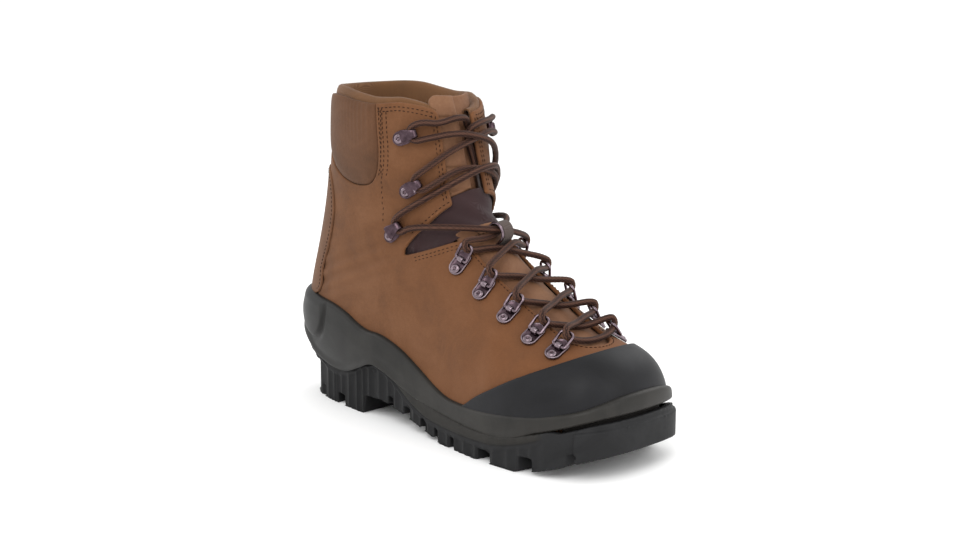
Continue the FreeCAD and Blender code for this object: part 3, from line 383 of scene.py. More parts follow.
def solid(patch, off, thick, roll=0.0, rim_round=3):
    """Closed piece: the patch lifted by off, its edge turned down by a quarter
    circle of radius roll, walls and an inner face thick below."""
    P, N, F = patch.P, patch.N, patch.F
    off = np.broadcast_to(off, (len(P),)).astype(float)
    thick = np.broadcast_to(thick, (len(P),)).astype(float)
    if roll > 0:
        d, edges = patch.border()
        q = np.clip(1 - d / roll, 0, 1)
        off_o = off - roll * (1 - np.sqrt(np.maximum(1 - q * q, 0)))
    else:
        off_o = off
        d, edges = patch.border()
    outer = P + N * off_o[:, None]
    inner_off = np.minimum(off - thick, off_o - 0.05)
    inner = P + N * inner_off[:, None]
    n = len(P)
    faces = list(F) + [tuple(q + n for q in reversed(f)) for f in F]
    eset = set(edges)
    for f in F:
        m = len(f)
        for k in range(m):
            a, b = f[k], f[(k + 1) % m]
            if ((a, b) if a < b else (b, a)) in eset:
                faces.append((b, a, a + n, b + n))
    return np.concatenate([outer, inner]), faces


def isolines(grid, field, level, mask):
    """Polylines (points, normals) of field = level where mask holds."""
    g = field - level
    P, N = grid.P, grid.N
    ns, m = grid.ns, grid.m
    pts, nrm, key_i, segs = [], [], {}, []

    def node(i0, j0, i1, j1):
        k = (i0, j0, i1, j1)
        if k in key_i:
            return key_i[k]
        a, b = g[i0, j0], g[i1, j1]
        t = a / (a - b)
        pts.append(P[i0, j0] * (1 - t) + P[i1, j1] * t)
        nrm.append(N[i0, j0] * (1 - t) + N[i1, j1] * t)
        key_i[k] = len(pts) - 1
        return key_i[k]
    sgn = g > 0
    r = np.roll(np.arange(m), -1)
    c = sgn[:-1].astype(int) + sgn[:-1][:, r] + sgn[1:] + sgn[1:][:, r]
    for i, j in zip(*np.nonzero((c > 0) & (c < 4) & mask[:-1])):
        j2 = (j + 1) % m
        cs = [(i, j), (i, j2), (i + 1, j2), (i + 1, j)]
        hit = []
        for (a, b) in ((0, 1), (1, 2), (3, 2), (0, 3)):
            (i0, j0), (i1, j1) = cs[a], cs[b]
            if sgn[i0, j0] != sgn[i1, j1]:
                hit.append(node(i0, j0, i1, j1))
        if len(hit) == 2:
            segs.append(hit)
    nxt = {}
    for a, b in segs:
        nxt.setdefault(a, []).append(b)
        nxt.setdefault(b, []).append(a)
    seen = set()
    out = []
    starts = [k for k, v in nxt.items() if len(v) == 1] + list(nxt)
    for st in starts:
        if st in seen:
            continue
        run = [st]
        seen.add(st)
        cur = st
        while True:
            more = [q for q in nxt[cur] if q not in seen]
            if not more:
                break
            cur = more[0]
            seen.add(cur)
            run.append(cur)
        if len(run) > 3:
            out.append((np.array([pts[k] for k in run]),
                        unit(np.array([nrm[k] for k in run]))))
    return out


def stitches(name, lines, mat, pitch=2.9, length=2.0, width=0.55, lift=0.12,
             off=0.0, wobble=0.12):
    """Rows of sewn stitches: short, slightly sunk, rounded bars of thread."""
    V, F = [], []
    ring = 6
    prof = [(-1.0, 0.25), (-0.8, 0.75), (-0.35, 1.0), (0.35, 1.0), (0.8, 0.75),
            (1.0, 0.25)]
    for P, N in lines:
        d = np.concatenate([[0], np.cumsum(np.linalg.norm(np.diff(P, axis=0),
                                                          axis=1))])
        k = max(1, int(d[-1] / pitch))
        for c in (np.arange(k) + 0.5) * d[-1] / k:
            q = [np.array([np.interp(x, d, P[:, a]) for a in range(3)])
                 for x in (c - length / 2, c, c + length / 2)]
            n = unit(np.array([np.interp(c, d, N[:, a]) for a in range(3)]))
            t = unit(q[2] - q[0])
            b = np.cross(n, t)
            t = unit(t + b * rng.normal(0, wobble))
            b = np.cross(n, t)
            base = len(V)
            for (u, w) in prof:
                bow = -0.35 * width * u * u
                for r in range(ring):
                    a = 2 * math.pi * r / ring
                    V.append(q[1] + n * (off + lift + bow
                                         + math.sin(a) * width / 2 * w)
                             + t * (u * length / 2)
                             + b * (math.cos(a) * width / 2 * w))
            for i in range(len(prof) - 1):
                for r in range(ring):
                    r2 = (r + 1) % ring
                    F.append((base + i * ring + r, base + i * ring + r2,
                              base + (i + 1) * ring + r2, base + (i + 1) * ring + r))
            F.append(tuple(base + r for r in reversed(range(ring))))
            F.append(tuple(base + (len(prof) - 1) * ring + r for r in range(ring)))
    if not V:
        raise RuntimeError("no stitches in " + name)
    return as_object(name, V, F, mat)


def tube(points, radius, ring=12, closed=False, up=None):
    """Tube mesh along points (any units); radius a number or one per point."""
    P = np.asarray(points, float)
    n = len(P)
    R = np.broadcast_to(radius, (n,))
    if closed:
        T = unit(np.roll(P, -1, 0) - np.roll(P, 1, 0))
    else:
        T = unit(np.gradient(P, axis=0))
    nrm = np.zeros_like(P)
    a = np.array(up if up is not None else (0.0, 0.0, 1.0))
    if abs(T[0] @ a) > 0.9:
        a = np.array([0.0, 1.0, 0.0])
    nrm[0] = unit(a - T[0] * (a @ T[0]))
    for i in range(1, n):
        v = nrm[i - 1] - T[i] * (nrm[i - 1] @ T[i])
        nrm[i] = unit(v)
    bi = np.cross(T, nrm)
    an = np.linspace(0, 2 * np.pi, ring, endpoint=False)
    V = (P[:, None] + R[:, None, None] * (np.cos(an)[None, :, None] * nrm[:, None]
         + np.sin(an)[None, :, None] * bi[:, None]))
    F = []
    last = n if closed else n - 1
    for i in range(last):
        i2 = (i + 1) % n
        for r in range(ring):
            r2 = (r + 1) % ring
            F.append((i * ring + r, i2 * ring + r, i2 * ring + r2, i * ring + r2))
    if not closed:
        F.append(tuple(r for r in range(ring)))
        F.append(tuple((n - 1) * ring + r for r in reversed(range(ring))))
    return V.reshape(-1, 3), F


# ---------------------------------------------------------------- materials
def lin(h):
    h = h.lstrip("#")
    c = [int(h[i:i + 2], 16) / 255 for i in (0, 2, 4)]
    return [x / 12.92 if x <= 0.04045 else ((x + 0.055) / 1.055) ** 2.4 for x in c] + [1.0]


class Mat:
    """A material's node tree, built with a few short calls."""

    def __init__(self, name):
        self.mat = bpy.data.materials.new(name)
        self.mat.use_nodes = True
        self.t = self.mat.node_tree
        self.t.nodes.clear()
        self.out = self.add("ShaderNodeOutputMaterial")
        self.bsdf = self.add("ShaderNodeBsdfPrincipled")
        self.link(self.bsdf, "BSDF", self.out, "Surface")
        self.co = self.add("ShaderNodeTexCoord")
        self.height = None

    def add(self, kind, **kw):
        n = self.t.nodes.new(kind)
        for k, v in kw.items():
            setattr(n, k, v)
        return n

    def link(self, a, ao, b, bi):
        self.t.links.new(a.outputs[ao], b.inputs[bi])

    def set(self, **kw):
        for k, v in kw.items():
            self.bsdf.inputs[k.replace("_", " ")].default_value = v
        return self

    def noise(self, scale, detail=4.0, rough=0.6, stretch=None, dist=0.0):
        n = self.add("ShaderNodeTexNoise")
        n.inputs["Scale"].default_value = scale
        n.inputs["Detail"].default_value = detail
        n.inputs["Roughness"].default_value = rough
        n.inputs["Distortion"].default_value = dist
        if stretch:
            m = self.add("ShaderNodeMapping")
            m.inputs["Scale"].default_value = stretch
            self.link(self.co, "Object", m, "Vector")
            self.link(m, "Vector", n, "Vector")
        else:
            self.link(self.co, "Object", n, "Vector")
        return n, 0

    def voronoi(self, scale, feature="F1", rand=1.0):
        n = self.add("ShaderNodeTexVoronoi", feature=feature)
        n.inputs["Scale"].default_value = scale
        n.inputs["Randomness"].default_value = rand
        self.link(self.co, "Object", n, "Vector")
        return n, "Distance"

    def wave(self, scale, direction="X", dist=0.0, profile="SIN", stretch=None,
             rot=None):
        n = self.add("ShaderNodeTexWave", bands_direction=direction,
                     wave_profile=profile)
        n.inputs["Scale"].default_value = scale
        n.inputs["Distortion"].default_value = dist
        n.inputs["Detail Scale"].default_value = 2.0
        if stretch or rot:
            m = self.add("ShaderNodeMapping")
            if stretch:
                m.inputs["Scale"].default_value = stretch
            if rot:
                m.inputs["Rotation"].default_value = rot
            self.link(self.co, "Object", m, "Vector")
            self.link(m, "Vector", n, "Vector")
        else:
            self.link(self.co, "Object", n, "Vector")
        return n, "Fac"

    def attr(self, name):
        n = self.add("ShaderNodeAttribute", attribute_name=name)
        return n, "Fac"

    def point(self):
        n = self.add("ShaderNodeNewGeometry")
        return n, "Pointiness"

    def ramp(self, src, stops, ease="LINEAR"):
        n = self.add("ShaderNodeValToRGB")
        n.color_ramp.interpolation = ease
        els = n.color_ramp.elements
        while len(els) < len(stops):
            els.new(0.5)
        for e, (p, c) in zip(els, stops):
            e.position = p
            e.color = c if hasattr(c, "__len__") else (c, c, c, 1)
        self.t.links.new(src[0].outputs[src[1]], n.inputs["Fac"])
        return n, "Color"

    def mix(self, a, b, fac, mode="MIX"):
        n = self.add("ShaderNodeMix", data_type="RGBA", blend_type=mode)
        for src, idx in ((a, 6), (b, 7)):
            if isinstance(src, tuple) and hasattr(src[0], "outputs"):
                self.t.links.new(src[0].outputs[src[1]], n.inputs[idx])
            else:
                n.inputs[idx].default_value = src
        if isinstance(fac, tuple) and hasattr(fac[0], "outputs"):
            self.t.links.new(fac[0].outputs[fac[1]], n.inputs[0])
        else:
            n.inputs[0].default_value = fac
        return n, 2

    def math(self, op, a, b=0.0):
        n = self.add("ShaderNodeMath", operation=op)
        for src, idx in ((a, 0), (b, 1)):
            if isinstance(src, tuple):
                self.t.links.new(src[0].outputs[src[1]], n.inputs[idx])
            else:
                n.inputs[idx].default_value = src
        return n, 0

    def color(self, src):
        self.t.links.new(src[0].outputs[src[1]], self.bsdf.inputs["Base Color"])
        return self

    def rough(self, src, lo, hi):
        n = self.add("ShaderNodeMapRange")
        n.inputs["To Min"].default_value = lo
        n.inputs["To Max"].default_value = hi
        self.t.links.new(src[0].outputs[src[1]], n.inputs["Value"])
        self.t.links.new(n.outputs[0], self.bsdf.inputs["Roughness"])
        return self

    def bump(self, src, strength, distance):
        n = self.add("ShaderNodeBump")
        n.inputs["Strength"].default_value = strength
        n.inputs["Distance"].default_value = distance
        self.t.links.new(src[0].outputs[src[1]], n.inputs["Height"])
        if self.height is not None:
            self.link(self.height, "Normal", n, "Normal")
        self.link(n, "Normal", self.bsdf, "Normal")
        self.height = n
        return self


def leather(name, dark, mid, light, grain=1.0, warm=None, edge=True):
    m = Mat(name)
    big = m.noise(28, 5, 0.62, dist=0.6)
    col = m.ramp(big, [(0.32, lin(dark)), (0.5, lin(mid)), (0.7, lin(light))])
    fine = m.noise(520, 3, 0.7)
    col = m.mix(col, m.ramp(fine, [(0.3, lin(dark)), (0.7, lin(light))]), 0.22)
    if warm:
        # warmer and lighter towards the vamp and the toe
        n = m.add("ShaderNodeSeparateXYZ")
        m.link(m.co, "Object", n, "Vector")
        k = m.add("ShaderNodeMapRange")
        k.inputs["From Min"].default_value = -0.06
        k.inputs["From Max"].default_value = 0.12
        m.t.links.new(n.outputs[0], k.inputs["Value"])
        k.inputs["To Max"].default_value = 0.55
        col = m.mix(col, lin(warm), (k, 0))
    if edge:
        # Painted shade in creases and hollows: where the pointiness is low the colour is
        # mixed towards the dark tone. On ridges, where it is high, it is lightened as edge
        # wear.
        pt = m.ramp(m.point(), [(0.44, 0.0), (0.5, 0.35), (0.56, 1.0)])
        col = m.mix(m.mix(col, lin(dark), 0.45), col, pt)
        pe = m.ramp(m.point(), [(0.53, 0.0), (0.62, 0.5)])
        col = m.mix(col, lin(light), pe)
    m.color(col)
    scuff = m.noise(9, 6, 0.7, dist=1.0)
    m.rough(scuff, 0.58, 0.86)
    m.bump(m.noise(75, 4, 0.6), 0.25 * grain, 0.0006)
    m.bump(m.voronoi(1100, "SMOOTH_F1"), 0.35 * grain, 0.00016)
    m.bump(m.noise(2600, 2, 0.6), 0.4 * grain, 0.00010)
    m.set(Sheen_Weight=0.05, Sheen_Roughness=0.5, Specular_IOR_Level=0.18)
    m.bsdf.inputs["Sheen Tint"].default_value = (1.0, 0.86, 0.72, 1)
    return m.mat


def rubber(name, dark, light, rough=(0.42, 0.62), bump=0.3, spec=0.45, scale=1.0,
           grain=1500, upper=None, heel=0.0):
    m = Mat(name)
    big = m.noise(22, 6, 0.65, dist=0.8)
    col = m.ramp(big, [(0.3, lin(dark)), (0.72, lin(light))])
    if upper:
        up_ = m.ramp(big, [(0.3, lin(upper[0])), (0.72, lin(upper[1]))])
        col = m.mix(col, up_, m.attr("band"))
    if heel:
        # painted shade: the colour is mixed towards a darker tone towards the heel
        sep = m.add("ShaderNodeSeparateXYZ")
        m.link(m.co, "Object", sep, "Vector")
        ran = m.add("ShaderNodeMapRange")
        ran.inputs["From Min"].default_value = -0.02
        ran.inputs["From Max"].default_value = -0.15
        ran.inputs["To Max"].default_value = heel
        m.link(sep, "X", ran, "Value")
        col = m.mix(col, m.ramp(big, [(0.3, lin("#0b0b0c")), (0.72, lin("#131314"))]),
                    (ran, 0))
    # painted highlight: the colour is lightened towards the light tone on convex edges and
    # rims
    pe = m.ramp(m.point(), [(0.52, 0.0), (0.6, 0.6)])
    col = m.mix(col, lin(light), pe)
    m.color(col)
    m.rough(m.noise(40, 5, 0.7), *rough)
    m.bump(m.noise(grain, 3, 0.6), bump, 0.00012)
    m.bump(m.noise(120, 3, 0.5), 0.12, 0.0004)
    m.set(Specular_IOR_Level=spec)
    return m.mat


def metal(name, dark, light, rough=(0.2, 0.38), spec=0.5):
    m = Mat(name)
    col = m.ramp(m.noise(160, 4, 0.6), [(0.35, lin(dark)), (0.65, lin(light))])
    # painted highlight: the colour is lightened to #a2949b on convex edges
    pe = m.ramp(m.point(), [(0.5, 0.0), (0.58, 0.7)])
    col = m.mix(col, lin("#a2949b"), pe)
    m.color(col)
    m.rough(m.noise(420, 4, 0.7), *rough)
    m.bump(m.noise(900, 3, 0.6), 0.12, 0.00008)
    m.set(Metallic=1.0, Specular_IOR_Level=spec)
    return m.mat


def fabric(name, dark, light, scale=900.0, strength=0.6, rough=(0.75, 0.95),
           sheen=0.12, rot=(0.3, 0.5, 0.2)):
    m = Mat(name)
    a = m.wave(scale, "X", 0.6, rot=rot)
    b = m.wave(scale, "Z", 0.6, rot=rot)
    w = m.math("MULTIPLY", a, b)
    col = m.ramp(w, [(0.0, lin(dark)), (0.8, lin(light))])
    col = m.mix(col, m.ramp(m.noise(30, 5, 0.6), [(0.3, lin(dark)), (0.7, lin(light))]),
                0.35)
    m.color(col)
    m.rough(m.noise(60, 3, 0.6), *rough)
    m.bump(w, strength, 0.00022)
    m.bump(m.noise(1600, 2, 0.6), 0.3, 0.00012)
    m.set(Sheen_Weight=sheen, Sheen_Roughness=0.4, Specular_IOR_Level=0.25)
    return m.mat


M_SKIN = leather("nubuck_leather", "#513420", "#664126", "#744e33",
                 warm="#704322")
M_PANEL = leather("collar_leather", "#462e1e", "#573925", "#66452f", grain=1.3)
M_FLAP = leather("pebbled_flap_leather", "#523625", "#6b4730", "#7e5a40", grain=2.4)
M_TONGUE = leather("tongue_leather", "#5b3d2b", "#724f38", "#866248", grain=1.0)
M_BACK = leather("backstay_leather", "#4d3221", "#61402a", "#6f4e35")
M_LIN = fabric("collar_lining_cloth", "#50351f", "#7c5636", 700.0, 0.5)
M_GUS = fabric("gusset_cloth", "#2a1b1d", "#443030", 1000.0, 0.7)
M_BED = fabric("footbed_felt", "#26262a", "#3d3d42", 800.0, 0.4)
M_RAND = rubber("toe_rand_rubber", "#0f0f11", "#19191c", (0.40, 0.58), 0.35, 0.2)
# heel= sets how strongly the painted shade darkens the band and the sole towards the heel
M_BAND = rubber("midsole_band_rubber", "#191816", "#2c2a27", (0.38, 0.56), 0.2, 0.22,
                heel=0.75)
M_SOLE = rubber("outsole_rubber", "#131314", "#232324", (0.5, 0.72), 0.35, 0.18,
                upper=("#191816", "#2c2a27"), heel=0.85)
M_PLATE = metal("gunmetal_plate", "#382c31", "#5a4a51", (0.2, 0.36))
M_RIVET = metal("gunmetal_rivet", "#44363b", "#74636a", (0.18, 0.34))
M_WIRE = metal("bright_wire", "#4a3c42", "#7c6c74", (0.16, 0.3))
M_STEEL = metal("spring_steel", "#7d7f82", "#a2a4a8", (0.3, 0.45))
M_BOARD = fabric("stiffener_board", "#1d1b1a", "#2e2b28", 600.0, 0.2)
M_TAB = fabric("keeper_tape", "#3f3430", "#655852", 1300.0, 0.8)
M_THREAD = Mat("brown_thread")
M_THREAD.color(M_THREAD.ramp(M_THREAD.noise(300, 3), [(0.3, lin("#1c100a")),
                                                      (0.7, lin("#2c1b11"))]))
M_THREAD.bump(M_THREAD.wave(2600, "DIAGONAL"), 0.6, 0.0001)
M_THREAD.set(Roughness=0.8, Sheen_Weight=0.0, Specular_IOR_Level=0.12)
M_THREAD = M_THREAD.mat
M_THREAD2 = Mat("dark_thread")
M_THREAD2.color(M_THREAD2.ramp(M_THREAD2.noise(300, 3), [(0.3, lin("#1c110c")),
                                                         (0.7, lin("#2e1d15"))]))
M_THREAD2.bump(M_THREAD2.wave(2600, "DIAGONAL"), 0.6, 0.0001)
M_THREAD2.set(Roughness=0.8, Sheen_Weight=0.0, Specular_IOR_Level=0.12)
M_THREAD2 = M_THREAD2.mat
_l = Mat("braided_lace")
# painted shade: the braid's low grooves are coloured near black, its raised strands lighter
_c = _l.ramp(_l.attr("braid"), [(0.0, lin("#0c0504")), (0.5, lin("#2a1711")),
                                (1.0, lin("#573a2d"))])
_c = _l.mix(_c, _l.ramp(_l.noise(900, 3), [(0.3, lin("#22120e")), (0.7, lin("#402a22"))]),
            0.2)
_l.color(_c)
_l.rough(_l.noise(500, 3), 0.55, 0.8)
_l.bump(_l.noise(3500, 2), 0.5, 0.0001)
_l.set(Sheen_Weight=0.04, Sheen_Roughness=0.4, Specular_IOR_Level=0.18)
M_LACE = _l.mat
_a = Mat("aglet_plastic")
_a.color(_a.ramp(_a.noise(200, 3), [(0.3, lin("#231815")), (0.7, lin("#3a2a25"))]))
_a.set(Roughness=0.3)
M_AGLET = _a.mat


# ------------------------------------------------- side-view curves (x, z)
FEATHER = [(-165, 33), (-150, 32), (-110, 30.5), (-80, 29.5), (-50, 27.5),
           (-20, 24), (20, 19.5), (60, 17.5), (90, 18.5), (115, 22.5),
           (135, 28), (150, 33), (165, 38)]
GROOVE = [(-165, 57), (-152, 55), (-141, 49.5), (-131, 42.7), (-118, 33.8),
          (-103, 28.9), (-84, 28.4), (-66, 33.7), (-52, 38.6), (-39.5, 36.5),
          (-21, 29.8), (0, 24.2), (21, 20.8), (43, 18.9), (63, 18.3),
          (81, 19.8), (104, 24.9), (123, 31), (132, 34.3), (140, 36.8),
          (150, 38.3), (165, 39.4)]
BAND_TOP = [(-165, 78), (-150, 77.5), (-135, 77), (-122, 76), (-96, 73.3),
            (-80, 69), (-68, 63.4), (-58, 60.2), (-46, 59.3), (-35, 56.6),
            (-22, 51.6), (-2.6, 41.8), (12, 34.8), (26, 30.6), (44, 30),
            (62, 31), (79, 32.6), (102, 35.4), (118, 38.8), (130, 42.4),
            (137, 46.4), (142, 50.2), (152, 53.4), (165, 54.4)]
RAND_TOP = [(26, 24), (36, 27.5), (44, 31), (56, 38.8), (69.5, 46), (80, 51.6),
            (91, 57), (107, 64.2), (118, 69.2), (125, 72.4), (133, 75.2),
            (148, 78), (165, 80)]
COLLAR_TOP = [(-160, 212), (-128, 213), (-112, 214), (-96, 215.2),
              (-82, 215), (-66, 213), (-50, 211.6), (-38, 212.4),
              (-28, 213.2), (-17, 211.4), (-8, 208.2), (10, 203), (40, 200)]
TONGUE_TOP = [(-60, 212), (-30, 217), (-12, 218.5), (0, 217.5), (20, 214)]
PANEL = [(-170, 184), (-128, 180), (-112, 177.5), (-100, 171), (-90, 164.5),
         (-80, 160), (-67, 157.2), (-55, 158), (-48.5, 162), (-45, 170),
         (-44, 182), (-45, 196), (-46, 215), (-47, 240), (-170, 240)]
NOTCH = [(-25.0, 117.2), (-22.7, 115.0), (-4.6, 120.7), (7.9, 125.4),
         (16.5, 128.2), (30, 132), (60, 142), (60, 186), (30, 168),
         (3.3, 148.4), (-7.6, 137.5), (-18.7, 126.4), (-24.0, 119.6)]
BACKSTAY = [(-180, 70), (-116, 76), (-106, 97), (-97, 116), (-92.6, 134),
            (-94, 147), (-99, 158), (-106, 163.5), (-120, 166), (-180, 168)]
TONGUE_LOW = [(-175, 96.5), (-75, 99.6), (-24, 107), (-12, 111), (2, 124.5),
              (10, 133), (17, 136.4), (40, 144), (180, 150)]
HIGH_SIDE = [(-175, 106.5), (-75, 100.4), (-24, 118.5), (-18.7, 127),
             (-7.6, 137.5), (3.3, 148.4), (40, 172)]


def mesh_step(full):
    return full


G = Grid(mesh_step(430), mesh_step(150))
X, Y, Z = G.P[..., 0], G.P[..., 1], G.P[..., 2]


def smin(a, b, k):
    h = np.clip(0.5 + 0.5 * (b - a) / k, 0, 1)
    return b * (1 - h) + a * h - k * h * (1 - h)


fe = G.dist(Z - line_z(FEATHER, X))
bt = G.dist(Z - line_z(BAND_TOP, X))
gr = G.dist(Z - line_z(GROOVE, X))
rt = G.dist(line_z(RAND_TOP, X) - Z)
rt = np.where(X < 26, -40.0, rt)
col = G.dist(line_z(COLLAR_TOP, X) - Z)
pan = G.dist(poly_sd(smooth_line(PANEL[:-2]).tolist() + [PANEL[-2], PANEL[-1]], X, Z))
notch = G.dist(-poly_sd(smooth_line(NOTCH, True), X, Z))
bst = G.dist(poly_sd(smooth_line(BACKSTAY), X, Z))


def throat_outline(half_back, half_front, toe_x):
    pts = [(-60, -half_back - 0.6), (-20, -half_back - 0.3), (16, -half_back),
           (60, -(half_back + half_front) / 2), (toe_x - 14, -half_front)]
    for k in range(1, 12):
        a = -math.pi / 2 + math.pi * k / 12
        pts.append((toe_x - 14 + 14 * math.cos(a), half_front * math.sin(a)))
    pts += [(toe_x - 14, half_front), (60, (half_back + half_front) / 2),
            (16, half_back), (-20, half_back + 0.3), (-60, half_back + 0.6)]
    return pts


thf = G.dist(np.where(Z > 56, -poly_sd(throat_outline(19.8, 15.5, 114), X, Y), 30.0))
ths_o = np.where((X > -42) & (Z > 105), -20.5 - Y, 30.0)
ths_i = np.where((X > -42) & (Z > 105), Y - 3.0, 30.0)
ths = G.dist(np.maximum(ths_o, ths_i))
up_side = Z > 117 + (X + 25) * 0.62
throat = np.where(up_side, ths, np.where(X < -30, 30.0, thf))
skin_r = smin(smin(notch, throat, 2.0), smin(col, throat, 5.0), 0.01)
skin_r = np.minimum(skin_r, col)
FIELDS = {"fe": fe, "bt": bt, "gr": gr, "rt": rt, "col": col, "pan": pan,
          "notch": notch, "bst": bst, "throat": throat, "skin": skin_r,
          "thf": thf, "ths": ths}


def blend_ankle(ob):
    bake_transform(ob)


def wrinkle(P, scale, seed):
    """Smooth cheap noise, -1 to 1, from a few sine waves."""
    r = np.random.default_rng(seed)
    out = np.zeros(len(P))
    for _ in range(9):
        k = r.normal(0, 1, 3)
        k *= scale * r.uniform(0.5, 1.6) / np.linalg.norm(k)
        out += np.sin(P @ k + r.uniform(0, 6.28)) / 9
    return out * 1.6


# ------------------------------------------------ the one-piece nubuck upper
base = Patch(G, FIELDS)
skin = base.copy()
skin.cut("bt", -7.0).pack()
skin.cut("skin", 0.0).pack()
skin.f["npan"] = -skin.f["pan"]
skin.cut("npan", 0.0).pack()
for lv in (0.45, 1.1, 2.2):
    skin.cut("skin", lv, "both")
for lv in (0.5, 1.2, 2.4):
    skin.cut("npan", lv, "both")
P = skin.P
# dents: soft creases at the ankle flex, slight hollows between the eyelets
fx, fz = P[:, 0], P[:, 2]
hinge = (fz - (100 + (fx + 75) * 0.35))
flexw = np.exp(-(hinge / 17.0) ** 2) * np.clip((-fx - 22) / 25, 0, 1) \
    * np.clip((fx + 128) / 20, 0, 1)
off = 0.35 * wrinkle(P, 0.055, 3) + 0.16 * wrinkle(P, 0.16, 4)
off += flexw * (0.55 * np.sin(hinge * 0.62 + 0.9 * wrinkle(P, 0.07, 5)) - 0.25)
vamp = np.clip((fx - 20) / 40, 0, 1) * np.clip((100 - fx) / 20, 0, 1)
off += vamp * 0.35 * np.sin(fx * 0.22 + 1.2 * wrinkle(P, 0.05, 8)) \
    * np.clip(1 - np.abs(np.abs(P[:, 1]) - 42) / 16, 0, 1)
fade = np.clip(skin.f["skin"] / 5, 0, 1) * np.clip(skin.f["npan"] / 5, 0, 1) \
    * np.clip((skin.f["bt"] + 2) / 6, 0, 1)
V_, F_ = solid(skin, off * fade, 2.2, roll=1.15)
upper = as_object("nubuck_upper", V_, F_, M_SKIN)
blend_ankle(upper)
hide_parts("upper_foot_leather", "upper_shaft_leather", "quarter_flex_zone")

# ------------------------------------------------------- rear collar panel
panel = base.copy()
panel.cut("pan", 0.12).pack()
panel.cut("col", 0.15).pack()
for lv in (0.5, 1.2, 2.4, 4.5):
    panel.cut("pan", lv, "both")
    panel.cut("col", lv, "both")
P = panel.P
d = np.minimum(panel.f["pan"], panel.f["col"] + 3.0)
puff = 2.3 * (1 - np.exp(-np.maximum(d, 0) / 4.2)) - 0.9
# fine upright ribs that fade towards the middle of the panel
ang = np.arctan2(P[:, 1], P[:, 0] + 75)
rib = np.sin(ang * 75.0 + 0.6 * wrinkle(P, 0.1, 11))
ribw = np.clip((P[:, 2] - 178) / 20, 0, 1) * np.clip((P[:, 0] + 84) / 25, 0, 1)
puff += 0.16 * rib * ribw * np.clip(d / 3, 0, 1)
puff += 0.35 * wrinkle(P, 0.075, 12) * np.clip(d / 6, 0, 1)
V_, F_ = solid(panel, puff, 2.6, roll=1.2)
ob = as_object("rear_collar_cushion", V_, F_, M_PANEL)
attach(ob, "shaft")
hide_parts("rear_collar_panel")

# ------------------------------------------------------------------ backstay
bs = base.copy()
bs.cut("bst", 0.0).pack()
bs.cut("bt", -5.0).pack()
bs.f["npan"] = -bs.f["pan"]
bs.cut("npan", 0.3).pack()
for lv in (0.5, 1.2, 2.2):
    bs.cut("bst", lv, "both")
V_, F_ = solid(bs, 1.25 + 0.12 * wrinkle(bs.P, 0.1, 21), 1.2, roll=0.9)
ob = as_object("backstay_strip", V_, F_, M_BACK)
blend_ankle(ob)
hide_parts("backstay")

# ------------------------------------------------------------------ stitches
shaft_z = Z > 117 + (X + 25) * 0.62
nopan = pan < -0.6
back_of_ankle = X < -30


def stitch_row(name, field, level, mask, body, mat=None, **kw):
    lines = isolines(G, field, level, mask)
    ob = stitches(name, lines, mat or M_THREAD2, **kw)
    if body == "ankle":
        blend_ankle(ob)
    else:
        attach(ob, body)
    return ob


m_front = shaft_z & nopan & (col > 4.2) & (Z > 134) & (notch > 4.5)
stitch_row("front_edge_stitches_a", ths, 2.6, m_front & (X > -42), "shaft")
stitch_row("front_edge_stitches_b", ths, 5.0, m_front & (X > -42), "shaft")
m_top = nopan & (np.abs(ths) > 3.0) & (X > -46)
stitch_row("collar_edge_stitches_a", col, 3.0, m_top & (ths > 2.4), "shaft")
stitch_row("collar_edge_stitches_b", col, 5.4, m_top & (ths > 4.8), "shaft")
m_pan = (X > -60) & (Z > 164) & (col > 3) & (np.abs(Y) > 15)
stitch_row("panel_stitches_a", pan, -2.6, m_pan, "shaft")
stitch_row("panel_stitches_b", pan, -5.2, m_pan, "shaft")
stitch_row("panel_stitches_c", pan, -8.6, m_pan & (col > 5.4), "shaft")
m_bst = (bt > 2.0) & (pan < -1.5)
stitch_row("backstay_stitches", bst, 2.4, m_bst, "ankle", off=1.25)
m_nl = (~shaft_z) & (X > -16) & (thf > 1.5) & (X < 24) & (Z > 66)
stitch_row("notch_lower_stitches_a", notch, 2.8, m_nl, "foot")
stitch_row("notch_lower_stitches_b", notch, 5.0, m_nl & (thf > 3), "foot")
m_thf = (~shaft_z) & (notch > 2.5) & (X > -10) & (Z > 62)
stitch_row("throat_stitches", thf, 2.6, m_thf, "foot")
m_nu = shaft_z & (X > -20) & (ths > 2.0)
stitch_row("notch_upper_stitches", notch, 2.6, m_nu, "shaft")

# ----------------------------------------------------------------- toe rand
rd = base.copy()
rd.cut("rt", 0.0).pack()
rd.f["ubt"] = rd.f["bt"] + 5.0
rd.cut("ubt", 0.0).pack()
for lv in (0.4, 0.9, 1.8):
    rd.cut("rt", lv, "both")
P = rd.P
ro = 2.3 + 0.18 * wrinkle(P, 0.06, 31)
V_, F_ = solid(rd, ro, 2.2, roll=1.3)
ob = as_object("toe_rand_rubber", V_, F_, M_RAND)
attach(ob, "foot")
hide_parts("toe_rand")

# ------------------------------------------------------------- midsole band
bd = base.copy()
bd.f["nbt"] = -bd.f["bt"]
bd.cut("nbt", 0.0).pack()
bd.cut("gr", 0.0).pack()
for lv in (0.4, 0.9, 1.7, 3.0):
    bd.cut("nbt", lv, "both")
for lv in (0.5, 1.1, 2.0):
    bd.cut("gr", lv, "both")
P = bd.P
top, bot = bd.f["nbt"], bd.f["gr"]
wide = np.maximum(top + bot, 1.0)
x = P[:, 0]
